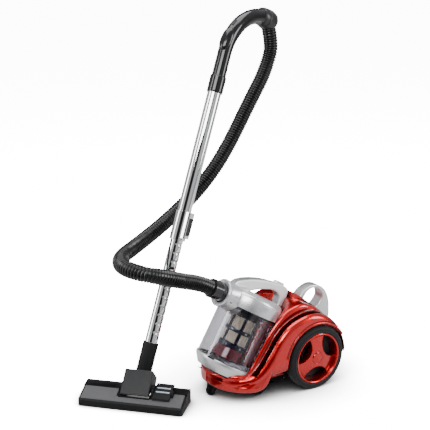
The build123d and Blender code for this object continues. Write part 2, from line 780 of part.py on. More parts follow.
def hose_length(points, radii):
    """Plain tube of the hose's outside diameter along straight runs joined by arcs."""
    with BuildPart() as tube:
        with BuildLine() as line:
            FilletPolyline(*points, radius=radii)
        with BuildSketch(Plane(origin=points[0], z_dir=points[1] - points[0])):
            Circle(HOSE_D / 2)
        sweep(path=line.wires()[0])
    length = line.wires()[0].length
    volume_ratio = tube.part.volume / (pi * HOSE_D ** 2 / 4 * length)
    print("hose length", round(length), "volume ratio", round(volume_ratio, 4))
    return tube


save(hose_length(HOSE_POINTS[:UPPER_RUNS + 1] + [SPLIT], HOSE_RADII[:UPPER_RUNS]), "hose_upper")
save(hose_length([SPLIT] + HOSE_POINTS[UPPER_RUNS + 1:], HOSE_RADII[UPPER_RUNS:]), "hose_lower")


# ---------------------------------------------------------------- handle on top of the wand
def elbow_plane(distance):
    """Plane across the hose exit at a distance from the ball elbow's centre."""
    return Plane(origin=BALL_CENTRE + EXIT * distance, z_dir=EXIT)


with BuildPart() as hose_cuff_upper:
    with BuildSketch(elbow_plane(EXIT_DISTANCE - 11)):
        Circle(HOSE_D / 2 + 1)
        Circle(HOSE_BORE_R, mode=Mode.SUBTRACT)
    extrude(amount=11)
    with BuildSketch(elbow_plane(EXIT_DISTANCE - 19)):
        Circle(17)
        Circle(HOSE_BORE_R, mode=Mode.SUBTRACT)
    extrude(amount=8)
save(hose_cuff_upper, "hose_cuff_upper")

with BuildPart() as handle_elbow:
    with BuildSketch(wand_side()):
        with BuildLine():
            ball_x, ball_y = GRIP_BEND_R + 5, UPPER_END + GRIP_STRAIGHT + GRIP_BEND_R
            CenterArc((ball_x, ball_y), BALL_R, 90, 180)
            Line((ball_x, ball_y + BALL_R), (ball_x, ball_y - BALL_R))
        make_face()
    revolve(axis=Axis(BALL_CENTRE, WAND_Z))
    with BuildSketch(elbow_plane(EXIT_DISTANCE - 11.3)):
        Circle(60)
    extrude(amount=30, mode=Mode.SUBTRACT)
    with BuildSketch(elbow_plane(0)):
        Circle(17.3)
    extrude(amount=40, mode=Mode.SUBTRACT)
    with BuildSketch(Plane(origin=BALL_CENTRE - WAND_X * 16, z_dir=WAND_X * -1)):
        Circle(60)
    extrude(amount=30, mode=Mode.SUBTRACT)
    with BuildSketch(Plane(origin=BALL_CENTRE - WAND_X * 4.8, z_dir=WAND_X * -1)):
        Circle(16.2)
    extrude(amount=30, mode=Mode.SUBTRACT)
save(handle_elbow, "handle_elbow")

with BuildPart() as handle_grip:
    with BuildSketch(wand_plane(UPPER_END - 45)):
        Circle(16.3)
        Circle(14, mode=Mode.SUBTRACT)
    extrude(amount=45)
    with BuildSketch(wand_plane(UPPER_END)):
        Circle(18.5)
        Circle(14, mode=Mode.SUBTRACT)
    extrude(amount=34)
    with BuildLine() as grip_line:
        start = wand_plane(UPPER_END + 34).origin
        knee = wand_plane(UPPER_END + GRIP_STRAIGHT).origin
        end = knee + (WAND_X + WAND_Z) * GRIP_BEND_R
        Line(start, knee)
        TangentArc(knee, end, tangent=WAND_Z)
    with BuildSketch(wand_plane(UPPER_END + 34)):
        Circle(15.5)
        Circle(12.5, mode=Mode.SUBTRACT)
    sweep(path=grip_line.wires()[0])
    with BuildSketch(Plane(origin=BALL_CENTRE - WAND_X * 28, z_dir=WAND_X)):
        Circle(19.5)
        Circle(12.5, mode=Mode.SUBTRACT)
    extrude(amount=12)
save(handle_grip, "handle_grip")

BEND_CENTRE = wand_side().from_local_coords(Vector(GRIP_BEND_R, UPPER_END + GRIP_STRAIGHT, 0))
BEND_AXIS = Axis(BEND_CENTRE, WAND_Z.cross(WAND_X))

INLAY_HALF = 55.0                  # half the inlay's width round the grip, degrees
INLAY_OUT, INLAY_IN = 16.6, 15.55  # radii of its two faces
INLAY_COS, INLAY_SIN = cos(radians(INLAY_HALF)), sin(radians(INLAY_HALF))

with BuildPart() as grip_inlay:
    with BuildSketch(wand_plane(UPPER_END + GRIP_STRAIGHT)):
        with BuildLine():
            CenterArc((0, 0), INLAY_OUT, -INLAY_HALF, 2 * INLAY_HALF)
            CenterArc((0, 0), INLAY_IN, -INLAY_HALF, 2 * INLAY_HALF)
            for side in (1, -1):
                outer_corner = (INLAY_OUT * INLAY_COS, side * INLAY_OUT * INLAY_SIN)
                inner_corner = (INLAY_IN * INLAY_COS, side * INLAY_IN * INLAY_SIN)
                Line(outer_corner, inner_corner)
        make_face()
    revolve(axis=BEND_AXIS, revolution_arc=60)
save(grip_inlay, "grip_inlay")

SLIDER_ANGLE = radians(32)
SLIDER_OUT = WAND_X * -cos(SLIDER_ANGLE) + WAND_Z * sin(SLIDER_ANGLE)
SLIDER_ALONG = WAND_X * sin(SLIDER_ANGLE) + WAND_Z * cos(SLIDER_ANGLE)
SLIDER_SEAT = BEND_CENTRE + SLIDER_OUT * (GRIP_BEND_R + 15.5)

with BuildPart() as bleed_slider:
    with BuildSketch(Plane(origin=SLIDER_SEAT + SLIDER_OUT * 0.3, x_dir=SLIDER_ALONG, z_dir=SLIDER_OUT)):
        RectangleRounded(22, 13, 4)
    extrude(amount=3.4)
save(bleed_slider, "bleed_slider")

# ---------------------------------------------------------------- telescopic wand
with BuildPart() as upper_tube:
    with BuildSketch(wand_plane(UPPER_START)):
        Circle(TUBE_R)
        Circle(TUBE_R - TUBE_WALL, mode=Mode.SUBTRACT)
    extrude(amount=UPPER_END - 0.1 - UPPER_START)
save(upper_tube, "upper_tube")

with BuildPart() as latch_housing:
    with BuildSketch(wand_plane(UPPER_START - 7)):
        Circle(TUBE_R + 2.6)
        Circle(INNER_TUBE_R + 0.4, mode=Mode.SUBTRACT)
    extrude(amount=7)
    with BuildSketch(wand_plane(UPPER_START)):
        Circle(TUBE_R + 2.6)
        with Locations((0, -20)):
            RectangleRounded(22, 17, 5)
        Circle(TUBE_R + 0.05, mode=Mode.SUBTRACT)
    extrude(amount=66)
    with BuildSketch(wand_plane(UPPER_START + 8)):
        with Locations((0, -27)):
            Rectangle(14, 8)
    extrude(amount=44, mode=Mode.SUBTRACT)
save(latch_housing, "latch_housing")

with BuildPart() as latch_button:
    with BuildSketch(wand_plane(UPPER_START + 8.5)):
        with Locations((0, -28.2)):
            Rectangle(13, 4)
    extrude(amount=43)
save(latch_button, "latch_button")

NOTCH_PITCH = 22.5
with BuildPart() as lower_tube:
    with BuildSketch(wand_plane(SOCKET_END - 36)):
        Circle(INNER_TUBE_R)
        Circle(INNER_TUBE_R - 1.2, mode=Mode.SUBTRACT)
    extrude(amount=UPPER_START + 70 - SOCKET_END + 36)
    for k in range(11):
        with BuildSketch(wand_plane(SOCKET_END + 22 + k * NOTCH_PITCH)):
            with Locations((0, -17.2)):
                Rectangle(16, 4)
        extrude(amount=8, mode=Mode.SUBTRACT)
save(lower_tube, "lower_tube")

# ---------------------------------------------------------------- neck of the floor head
CORNER = wand_plane(NECK_CORNER).origin
SWIVEL = (HEAD_V + Vector(0, 0, 1)).normalized()
PIVOT = CORNER - (HEAD_V + Vector(0, 0, 1)) * NECK_DROP
pivot_offset = PIVOT - head_point(0, 0, 0)
PIVOT_V, PIVOT_Z = pivot_offset.dot(HEAD_V), pivot_offset.Z
FACE_BACK = 9.0                    # swivel face below the corner


def swivel_plane(distance):
    return Plane(origin=CORNER + SWIVEL * distance, x_dir=HEAD_U, z_dir=SWIVEL)


with BuildPart() as neck_elbow:
    with BuildSketch(wand_plane(NECK_CORNER)):
        Circle(19.5)
    extrude(amount=SOCKET_END - NECK_CORNER)
    with BuildSketch(Plane(origin=CORNER, x_dir=HEAD_U, z_dir=HEAD_V)):
        with BuildLine():
            CenterArc((0, 0), 19.5, -90, 180)
            Line((0, 19.5), (0, -19.5))
        make_face()
    revolve(axis=Axis(CORNER, (0, 0, 1)))
    with BuildSketch(swivel_plane(-FACE_BACK + 0.4)):
        Circle(60)
    extrude(amount=-40, mode=Mode.SUBTRACT)
    with BuildSketch(swivel_plane(-FACE_BACK - 14)):
        Circle(15.6)
    extrude(amount=14 + FACE_BACK)
    with BuildSketch(swivel_plane(-FACE_BACK - 14)):
        Circle(13)
    extrude(amount=14 + FACE_BACK, mode=Mode.SUBTRACT)
    with BuildSketch(wand_plane(NECK_CORNER - 3)):
        Circle(13)
    extrude(amount=80, mode=Mode.SUBTRACT)
    with BuildSketch(wand_plane(SOCKET_END - 36.1)):
        Circle(INNER_TUBE_R + 0.05)
    extrude(amount=40, mode=Mode.SUBTRACT)
save(neck_elbow, "neck_elbow")

corner_offset = CORNER - head_point(0, 0, 0)
CORNER_V, CORNER_Z = corner_offset.dot(HEAD_V), corner_offset.Z
FACE_SUM = CORNER_V + CORNER_Z - FACE_BACK * 2 ** 0.5
HOOD_HALF = 36.0
PIN_REACH = 5.0                    # the pitch pins stand out of the hood by this much

with BuildPart() as neck_hood:
    with BuildSketch(head_across(HOOD_U - HOOD_HALF)):
        outline([(-20, 31), (FACE_SUM - 79, 79), (FACE_SUM - 44, 44), (PIVOT_V + 38, PIVOT_Z - 2),
                 (PIVOT_V + 18, PIVOT_Z - 10), (PIVOT_V - 14, PIVOT_Z - 8)])
    extrude(amount=2 * HOOD_HALF)
    with BuildSketch(head_across(HOOD_U - HOOD_HALF)):
        with Locations((PIVOT_V, PIVOT_Z)):
            Circle(14)
    extrude(amount=2 * HOOD_HALF)
    with BuildSketch(head_across(HOOD_U - HOOD_HALF - PIN_REACH)):
        with Locations((PIVOT_V, PIVOT_Z)):
            Circle(4)
    extrude(amount=2 * (HOOD_HALF + PIN_REACH))
    with BuildSketch(swivel_plane(-FACE_BACK - 14.4)):
        Circle(15.66)
    extrude(amount=30, mode=Mode.SUBTRACT)
    with BuildSketch(swivel_plane(-FACE_BACK - 50)):
        Circle(12)
    extrude(amount=50, mode=Mode.SUBTRACT)
save(neck_hood, "neck_hood")

# ---------------------------------------------------------------- floor head
HEAD_TOP = [(-45.5, 1), (-45.5, 16), (-42, 19), (-39, 19), (-39, 17), (3, 31), (3, 34), (28, 37),
            (38, 34), (45.5, 20), (45.5, 1)]
HEAD_INSIDE = [(-43, 0), (-43, 15), (-38, 15.2), (2, 28.5), (28, 34), (36, 31.5), (43, 19), (43, 0)]
NOTCH_HALF = HOOD_HALF + 1.0
PEDAL_U = (50, 95)
PEDAL_PIVOT = (-3, 37)
BRUSH_V = (-39.6, -25.6)


# the gap in which the neck pitches
with BuildPart() as neck_gap:
    with BuildSketch(head_plane(-1)):
        with Locations((HOOD_U, 14.5)):
            Rectangle(2 * NOTCH_HALF, 72)
    extrude(amount=60)


with BuildPart() as head_shell:
    with BuildSketch(head_across(-HEAD_L / 2)):
        outline(HEAD_TOP)
    extrude(amount=HEAD_L)
    with BuildSketch(head_plane(0)):
        RectangleRounded(HEAD_L, HEAD_D, 7)
    extrude(amount=60, mode=Mode.INTERSECT)
    with BuildSketch(head_across(-HEAD_L / 2 + 2.5)):
        outline(HEAD_INSIDE)
    extrude(amount=HEAD_L - 5, mode=Mode.SUBTRACT)
    # wall around the neck's gap
    with BuildSketch(head_plane(3.2)):
        with Locations((HOOD_U, 10)):
            Rectangle(2 * NOTCH_HALF + 5, 67.5)
    extrude(amount=24)
    add(neck_gap.part, mode=Mode.SUBTRACT)
    with BuildSketch(head_plane(3.2)):
        with Locations((HOOD_U, 53)):
            Rectangle(2 * NOTCH_HALF + 20, 16)
    extrude(amount=40, mode=Mode.SUBTRACT)
    # cheeks that hold the neck's pitch pins, and the duct into the neck
    for u in (HOOD_U - NOTCH_HALF - 7, HOOD_U + NOTCH_HALF):
        with BuildSketch(head_across(u)):
            with BuildLine():
                cheek_top = PIVOT_Z + 7
                Polyline((PIVOT_V - 16, 22), (PIVOT_V - 9, cheek_top), (PIVOT_V + 9, cheek_top),
                         (PIVOT_V + 18, 22), close=True)
            make_face()
        extrude(amount=7)
    with BuildSketch(head_across(HOOD_U - 60)):
        with Locations((PIVOT_V, PIVOT_Z)):
            Circle(4.06)
    extrude(amount=120, mode=Mode.SUBTRACT)
    with BuildSketch(head_across(HOOD_U)):
        with Locations((-22, 14)):
            Rectangle(8, 12)
    extrude(amount=24, both=True, mode=Mode.SUBTRACT)
    # ears for the pedal's pin
    for u in (PEDAL_U[0] - 4.5, PEDAL_U[1] + 0.5):
        with BuildSketch(head_across(u)):
            outline([(-10, 27), (-8, 42), (2, 42), (4, 27)])
        extrude(amount=4)
    with BuildSketch(head_across(PEDAL_U[0] - 6)):
        with Locations(PEDAL_PIVOT):
            Circle(2.06)
    extrude(amount=60, mode=Mode.SUBTRACT)
    # room inside for the rollers' axle
    with BuildSketch(head_across(-HEAD_L / 2 + 10)):
        with Locations((27, 9)):
            Circle(2.06)
    extrude(amount=HEAD_L - 20, mode=Mode.SUBTRACT)
save(head_shell, "head_shell")

with BuildPart() as head_panel:
    with BuildSketch(head_across(-HEAD_L / 2 + 5)):
        outline([(-38.9, 17.2), (-38.9, 19.2), (2.9, 33.2), (2.9, 31.1)])
    extrude(amount=HEAD_L - 10)
    with BuildSketch(head_plane(-1)):
        with Locations((HOOD_U, 14.5)):
            Rectangle(2 * NOTCH_HALF + 16, 72)
    extrude(amount=60, mode=Mode.SUBTRACT)
    for u in (PEDAL_U[0] - 2.5, PEDAL_U[1] + 2.5):
        with BuildSketch(head_plane(0)):
            with Locations((u, -2)):
                Rectangle(5, 18)
        extrude(amount=60, mode=Mode.SUBTRACT)
    add(head_shell.part, mode=Mode.SUBTRACT)
save(head_panel, "head_panel")

with BuildPart() as sole_plate:
    with BuildSketch(head_plane(0)):
        RectangleRounded(HEAD_L - 6, HEAD_D - 6, 4)
    extrude(amount=3)
    add(neck_gap.part, mode=Mode.SUBTRACT)
    with BuildSketch(head_plane(0)):
        with Locations((0, -32.7)):
            Rectangle(206, 8.6)
        with Locations((0, BRUSH_V[0]), (0, BRUSH_V[1])):
            Rectangle(210, 3)
        with Locations((-104, 27), (104, 27)):
            Rectangle(13, 21)
    extrude(amount=3, mode=Mode.SUBTRACT)
save(sole_plate, "sole_plate")

with BuildPart() as brush_strips:
    with BuildSketch(head_plane(0.3)):
        with Locations((0, BRUSH_V[0]), (0, BRUSH_V[1])):
            Rectangle(208, 2.2)
    extrude(amount=8)
    with BuildSketch(head_plane(8.3)):
        with Locations((-70, (BRUSH_V[0] + BRUSH_V[1]) / 2), (70, (BRUSH_V[0] + BRUSH_V[1]) / 2)):
            Rectangle(8, BRUSH_V[1] - BRUSH_V[0] + 2.2)
    extrude(amount=2)
save(brush_strips, "brush_strips")

with BuildPart() as head_rollers:
    for u in (-104, 104):
        with BuildSketch(head_across(u - 5)):
            with Locations((27, 9)):
                Circle(9)
        extrude(amount=10)
    with BuildSketch(head_across(-108)):
        with Locations((27, 9)):
            Circle(2)
    extrude(amount=216)
save(head_rollers, "head_rollers")

with BuildPart() as head_pedal:
    with BuildSketch(head_across(PEDAL_U[0])):
        outline([(-34, 22), (-34, 27), (26, 47), (29, 44.5), (29, 41.5), (2, 35), (-6, 32)])
    extrude(amount=PEDAL_U[1] - PEDAL_U[0])
    with BuildSketch(head_across(PEDAL_U[0] - 4.4)):
        with Locations(PEDAL_PIVOT):
            Circle(2)
    extrude(amount=PEDAL_U[1] - PEDAL_U[0] + 8.8)
save(head_pedal, "head_pedal")
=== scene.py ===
"""Bagless canister vacuum cleaner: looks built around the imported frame.  Metres, +Z up."""
import json
from math import acos, cos, degrees, pi, radians, sin, sqrt

import bmesh
import bpy
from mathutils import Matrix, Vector


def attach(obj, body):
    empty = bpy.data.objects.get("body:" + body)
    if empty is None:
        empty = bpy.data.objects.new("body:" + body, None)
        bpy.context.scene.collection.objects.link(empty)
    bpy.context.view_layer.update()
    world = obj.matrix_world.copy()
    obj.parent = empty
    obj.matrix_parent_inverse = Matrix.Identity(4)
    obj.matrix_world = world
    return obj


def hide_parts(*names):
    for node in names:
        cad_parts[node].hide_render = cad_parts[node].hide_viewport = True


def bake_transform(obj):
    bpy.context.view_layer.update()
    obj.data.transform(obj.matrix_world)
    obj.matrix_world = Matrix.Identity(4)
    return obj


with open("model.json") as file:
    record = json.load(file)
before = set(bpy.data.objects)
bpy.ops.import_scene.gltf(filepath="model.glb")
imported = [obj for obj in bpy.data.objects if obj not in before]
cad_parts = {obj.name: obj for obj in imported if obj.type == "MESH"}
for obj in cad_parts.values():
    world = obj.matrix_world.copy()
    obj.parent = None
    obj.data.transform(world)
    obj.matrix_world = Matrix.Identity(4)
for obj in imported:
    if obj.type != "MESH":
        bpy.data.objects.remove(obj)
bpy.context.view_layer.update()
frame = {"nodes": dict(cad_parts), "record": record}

MM = 0.001
NODES = frame["nodes"]
JOINTS = {j["name"]: j for j in frame["record"]["behaviour"]["joints"]}


# ------------------------------------------------------------------ shared frame
WHEEL_AXIS = Vector(JOINTS["wheel_left_spin"]["pos_m"])
CENTRE_Y = JOINTS["caster_swivel"]["pos_m"][1]


def at(x, y, z):
    """A point in canister terms (millimetres from the axle's centre on the floor)."""
    return Vector((WHEEL_AXIS.x + x * MM, CENTRE_Y + y * MM, z * MM))


CUP_AXIS = Vector(JOINTS["cup_lift"]["axis"])
CUP_BACK = Vector((CUP_AXIS.z, 0, -CUP_AXIS.x))
CUP_FOOT = at(-205.2, 0, 77.2)         # where the cup's axis meets the foot of its wall
WAND_Z = -Vector(JOINTS["wand_telescope"]["axis"])
WAND_Y = Vector(JOINTS["latch_press"]["axis"])
WAND_X = WAND_Y.cross(WAND_Z)
CORNER = Vector(JOINTS["neck_swivel"]["pos_m"])
WAND_FOOT = CORNER - WAND_Z * 30 * MM  # marks along the wand count from here
HEAD_TURN = radians(-45.9)
HEAD_U = Vector((cos(HEAD_TURN), sin(HEAD_TURN), 0))
HEAD_V = Vector((-HEAD_U.y, HEAD_U.x, 0))
UP = Vector((0, 0, 1))
EXIT = Vector(JOINTS["upper_cuff_swivel"]["axis"])
BALL = Vector(JOINTS["upper_cuff_swivel"]["pos_m"]) - EXIT * 30 * MM  # middle of the handle's elbow
HEAD_FOOT = at(-428.4, 60.6, 0)
AXLE_Z = 82.0


class Place:
    """A local frame: origin and three axes, with its coordinates in millimetres."""

    def __init__(self, origin, x, y, z):
        self.o, self.x, self.y, self.z = Vector(origin), Vector(x), Vector(y), Vector(z)

    def __call__(self, a, b, c):
        return self.o + (self.x * a + self.y * b + self.z * c) * MM


SIDE_Y = Vector((0, 1, 0))
CANISTER = Place(at(0, 0, 0), (1, 0, 0), (0, 1, 0), (0, 0, 1))
CUP = Place(CUP_FOOT, CUP_BACK, SIDE_Y, CUP_AXIS)
COLLAR = Place(CUP_FOOT + CUP_AXIS * 158 * MM, CUP_AXIS, SIDE_Y, -CUP_BACK)
WAND = Place(WAND_FOOT, WAND_X, WAND_Y, WAND_Z)
HEAD = Place(HEAD_FOOT, HEAD_U, HEAD_V, UP)


# ------------------------------------------------------------------ materials
PLASTIC_IOR = 1.5
TONE_SIZE = 0.05        # metres between lighter and darker areas of a surface
GRAIN_DEPTH = 0.0002
WHITE = (1, 1, 1, 1)


def grey(level):
    return (level, level, level, 1)


def feed(tree, made, inputs):
    """Gives a node's inputs their values; an output of another node is linked."""
    for key, value in inputs.items():
        if isinstance(value, bpy.types.NodeSocket):
            tree.links.new(value, made.inputs[key])
        else:
            made.inputs[key].default_value = value


def add(tree, kind, output, inputs=None, **settings):
    """Adds a shader node and returns one of its outputs."""
    made = tree.nodes.new("ShaderNode" + kind)
    for key, value in settings.items():
        setattr(made, key, value)
    feed(tree, made, inputs or {})
    return made.outputs[output]


def mix(tree, factor, a, b, blend="MIX"):
    inputs = {"Factor": factor, "A": a, "B": b}
    return add(tree, "Mix", "Result", inputs, data_type="RGBA", blend_type=blend)


def new_material(name):
    m = bpy.data.materials.new(name)
    m.use_nodes = True
    return m, m.node_tree, m.node_tree.nodes["Principled BSDF"]


def material(name, colour, rough=0.4, metal=0.0, coat=0.0, coat_rough=0.05, grain=0.0,
             grain_size=0.0008, wear=0.0, spread=0.06, tone=0.0, edge=0.6, transmission=0.0,
             sheen=0.0, stretch=None, corner_shade=0.0, specular=0.5):
    """A moulded, painted or metal finish: fine grain, uneven roughness, rounded edges.

    wear lightens the edges, the shade setting darkens corners and creases with painted shade from
    ambient occlusion, edge is how far the edges are rounded in millimetres and tone how much the
    colour varies.
    """
    m, t, b = new_material(name)
    coords = add(t, "TexCoord", "Object")
    if stretch is not None:
        coords = add(t, "Mapping", "Vector", {"Vector": coords, "Scale": stretch})
    fine = add(t, "TexNoise", "Fac", {"Vector": coords, "Scale": 1 / grain_size, "Detail": 3.0})
    broad = add(t, "TexNoise", "Fac", {"Vector": coords, "Scale": 1 / TONE_SIZE, "Detail": 4.0})
    rounded = add(t, "Bevel", "Normal", {"Radius": edge * MM}, samples=4)
    uneven = add(t, "MapRange", "Result", {
        "Value": broad, "From Min": 0.3, "From Max": 0.7,
        "To Min": max(rough - spread, 0.0), "To Max": min(rough + spread, 1.0)})
    out = mix(t, broad, [c * (1 - tone) for c in colour] + [1],
              [min(c * (1 + tone), 1) for c in colour] + [1])
    if wear > 0:
        worn = add(t, "MapRange", "Result", {
            "Value": add(t, "NewGeometry", "Pointiness"),
            "From Min": 0.52, "From Max": 0.62, "To Max": wear})
        out = mix(t, worn, out, [min(c * 1.6 + 0.05, 1) for c in colour] + [1])
    # painted shade: the colour is darkened in corners and creases by ambient occlusion
    if corner_shade > 0:
        shade_factor = add(t, "MapRange", "Result", {
            "Value": add(t, "AmbientOcclusion", "AO", {"Distance": 0.03}, samples=4),
            "From Min": 0.15, "From Max": 0.75, "To Min": 1 - corner_shade})
        out = mix(t, 1.0, out, shade_factor, "MULTIPLY")
    bump = add(t, "Bump", "Normal", {
        "Strength": grain, "Distance": GRAIN_DEPTH, "Height": fine, "Normal": rounded})
    feed(t, b, {
        "Base Color": out, "Roughness": uneven, "Normal": bump, "Coat Normal": rounded,
        "Metallic": metal, "Coat Weight": coat, "Coat Roughness": coat_rough,
        "Specular IOR Level": specular, "Transmission Weight": transmission,
        "IOR": PLASTIC_IOR, "Sheen Weight": sheen})
    return m


MAT = {
    "red": material("red_lacquer", (0.58, 0.0, 0.0), rough=0.30, metal=0.92, coat=1.0,
                    coat_rough=0.03, grain=0.04, grain_size=0.0006, tone=0.06, corner_shade=0.75),
    # a dark copy of the red lacquer: painted shade for the channel beside the cup
    "shaded_red": material("painted_shade_red_lacquer", (0.06, 0.0002, 0.0006), rough=0.3, metal=0.4,
                         coat=0.8, coat_rough=0.04, grain=0.02, tone=0.1, corner_shade=0.6),
    "silver": material("silver_satin", (0.72, 0.73, 0.75), rough=0.30, metal=0.75, coat=0.25,
                       coat_rough=0.25, grain=0.12, grain_size=0.0005, wear=0.15, tone=0.03,
                       corner_shade=0.35),
    "pearl": material("pearl_silver", (0.97, 0.97, 0.98), rough=0.34, coat=0.35, coat_rough=0.15,
                      grain=0.1, grain_size=0.0005, wear=0.1, tone=0.02, corner_shade=0.3),
    "black": material("moulded_black", (0.0025, 0.0025, 0.003), specular=0.08, rough=0.46,
                      grain=0.35, grain_size=0.0007, wear=0.35, tone=0.15, spread=0.1),
    "black_gloss": material("gloss_black", (0.004, 0.004, 0.005), specular=0.25, rough=0.22,
                            coat=0.6, coat_rough=0.08, grain=0.06, wear=0.2, tone=0.12,
                            spread=0.08),
    "charcoal": material("charcoal_plastic", (0.012, 0.012, 0.013), specular=0.25, rough=0.5,
                         grain=0.4, grain_size=0.0006, wear=0.3, tone=0.1, spread=0.08),
    "grey_panel": material("mid_grey_panel", (0.065, 0.065, 0.068), specular=0.25, rough=0.42,
                           grain=0.45, grain_size=0.0005, wear=0.15, tone=0.08, spread=0.08),
    "grey_button": material("grey_button", (0.16, 0.165, 0.175), rough=0.4, grain=0.25, wear=0.3,
                            tone=0.08),
    "knuckle": material("satin_black", (0.012, 0.012, 0.014), specular=0.5, rough=0.34,
                        grain=0.12, wear=0.15, tone=0.08),
    "stripe": material("pale_stripe", (0.42, 0.50, 0.58), rough=0.35, grain=0.1, tone=0.05),
    "chrome": material("wand_chrome", (0.86, 0.87, 0.88), rough=0.05, metal=1.0, grain=0.05,
                       grain_size=0.002, tone=0.02, spread=0.03, edge=0.3),
    "steel": material("plain_steel", (0.45, 0.45, 0.46), rough=0.3, metal=1.0, grain=0.15,
                      tone=0.08),
    "tyre": material("tyre_rubber", (0.010, 0.010, 0.011), specular=0.12, rough=0.55, grain=0.5,
                     grain_size=0.0008, wear=0.4, tone=0.15, sheen=0.1),
    "rubber": material("seal_rubber", (0.02, 0.02, 0.021), specular=0.25, rough=0.7, grain=0.4,
                       tone=0.1),
    "cage": material("navy_cage", (0.006, 0.007, 0.018), rough=0.28, coat=0.3, grain=0.1,
                     wear=0.2, tone=0.1),
    "skirt": material("maroon_skirt", (0.16, 0.006, 0.018), rough=0.2, coat=0.6, grain=0.03,
                      tone=0.15, transmission=0.15),
    "foam": material("filter_foam", (0.06, 0.06, 0.065), rough=0.9, grain=1.0, grain_size=0.0015,
                     tone=0.2),
    "copper": material("motor_windings", (0.55, 0.24, 0.1), rough=0.35, metal=0.9, grain=0.6,
                       grain_size=0.0012, tone=0.15),
    "bristle": material("nylon_bristle", (0.02, 0.02, 0.02), rough=0.7, grain=1.0,
                        grain_size=0.0004, tone=0.3, stretch=(1, 1, 0.1)),
    "hose": material("hose_black", (0.003, 0.003, 0.0035), specular=0.3, rough=0.26, coat=0.3,
                     grain=0.12, grain_size=0.001, wear=0.25, tone=0.15),
}


def clear_plastic():
    m, t, b = new_material("clear_smoky_plastic")
    noise = add(t, "TexNoise", "Fac", {"Vector": add(t, "TexCoord", "Object"), "Scale": 40.0})
    feed(t, b, {
        "Roughness": add(t, "MapRange", "Result", {"Value": noise, "To Max": 0.06}),
        "Base Color": mix(t, noise, (0.86, 0.85, 0.91, 1), (0.93, 0.92, 0.95, 1)),
        "Transmission Weight": 1.0, "IOR": 1.3, "Coat Weight": 0.3})
    return m


def pleated_paper():
    m, t, b = new_material("pleated_paper")
    wave = add(t, "TexWave", "Fac", {
        "Vector": add(t, "TexCoord", "Object"), "Scale": 90.0, "Distortion": 0.6},
        bands_direction="Y")
    feed(t, b, {
        "Base Color": mix(t, wave, (0.62, 0.56, 0.44, 1), (0.95, 0.90, 0.78, 1)),
        "Normal": add(t, "Bump", "Normal", {"Strength": 0.8, "Distance": 0.001, "Height": wave}),
        "Roughness": 0.85})
    return m


MAT["clear"] = clear_plastic()
MAT["pleats"] = pleated_paper()

NODE_MATERIAL = {
    "upper_shell": "red", "base_tray": "black", "handle_fairing": "red", "rear_cover": "pearl",
    "carry_handle": "silver", "exhaust_filter": "foam", "motor_housing": "charcoal",
    "motor_stator": "copper", "motor_rotor": "steel", "motor_mounts": "rubber",
    "cord_reel": "black", "reel_axle": "steel", "intake_duct": "charcoal",
    "premotor_filter": "foam", "power_pedal": "red", "rewind_pedal": "red",
    "power_switch": "black", "cord_gland": "black", "wheel_axles": "steel",
    "body_screws": "steel", "tyre_left": "tyre", "tyre_right": "tyre", "rim_left": "red",
    "rim_right": "red", "caster_fork": "black", "caster_wheel": "black", "cup_wall": "clear",
    "inlet_collar": "pearl", "cup_lid": "silver", "cup_handle": "pearl",
    "release_button": "pearl", "cup_base_ring": "silver", "bottom_door": "silver",
    "cup_seals": "rubber", "filter_cage": "cage", "filter_pleats": "pleats",
    "filter_skirt": "skirt", "hose_cuff_lower": "black_gloss", "hose_upper": "hose",
    "hose_lower": "hose", "hose_cuff_upper": "black_gloss", "handle_grip": "black_gloss",
    "handle_elbow": "black_gloss", "grip_inlay": "grey_button", "bleed_slider": "charcoal",
    "upper_tube": "chrome", "latch_housing": "chrome", "latch_button": "charcoal",
    "lower_tube": "chrome", "neck_elbow": "black", "neck_hood": "charcoal", "head_shell": "black",
    "head_panel": "grey_panel", "sole_plate": "black", "brush_strips": "bristle",
    "head_rollers": "rubber", "head_pedal": "black",
}
for node, finish in NODE_MATERIAL.items():
    mesh = NODES[node].data
    mesh.materials.clear()
    mesh.materials.append(MAT[finish])


# ------------------------------------------------------------------ camera
camera_data = bpy.data.cameras.new("camera")
camera_data.lens = 83.72
camera_data.sensor_width = 36
camera = bpy.data.objects.new("camera", camera_data)
camera.location = (-1.2651, -2.0010, 1.1194)
camera.rotation_euler = (radians(74), 0, radians(-32.6))
bpy.context.scene.collection.objects.link(camera)
bpy.context.scene.camera = camera


# ------------------------------------------------------------------ mesh helpers
def new_object(name, verts, faces, finish, smooth=True, angle=None):
    mesh = bpy.data.meshes.new(name)
    mesh.from_pydata([tuple(v) for v in verts], [], faces)
    mesh.materials.append(MAT[finish])
    bm = bmesh.new()
    bm.from_mesh(mesh)
    bmesh.ops.recalc_face_normals(bm, faces=bm.faces)
    bm.to_mesh(mesh)
    bm.free()
    mesh.polygons.foreach_set("use_smooth", [smooth] * len(mesh.polygons))
    if angle is not None:
        mesh.set_sharp_from_angle(angle=radians(angle))
    o = bpy.data.objects.new(name, mesh)
    bpy.context.scene.collection.objects.link(o)
    return o


def tube_mesh(name, centres, radii, finish, sides):
    """A capped round tube through centres, its frames carried along without twist."""
    count = len(centres)
    verts, faces = [], []
    tangent = (centres[1] - centres[0]).normalized()
    normal = Vector((0.3, 0.5, 0.8)).cross(tangent).normalized()
    for i, c in enumerate(centres):
        a, b = centres[max(i - 1, 0)], centres[min(i + 1, count - 1)]
        tangent = (b - a).normalized()
        normal = (normal - tangent * normal.dot(tangent)).normalized()
        other = tangent.cross(normal)
        for k in range(sides):
            angle = 2 * pi * k / sides
            verts.append(c + (normal * cos(angle) + other * sin(angle)) * radii[i])
    for i in range(count - 1):
        for k in range(sides):
            j = (k + 1) % sides
            faces.append((i * sides + k, i * sides + j, (i + 1) * sides + j, (i + 1) * sides + k))
    faces.append(tuple(range(sides))[::-1])
    faces.append(tuple((count - 1) * sides + k for k in range(sides)))
    return new_object(name, verts, faces, finish, angle=50)


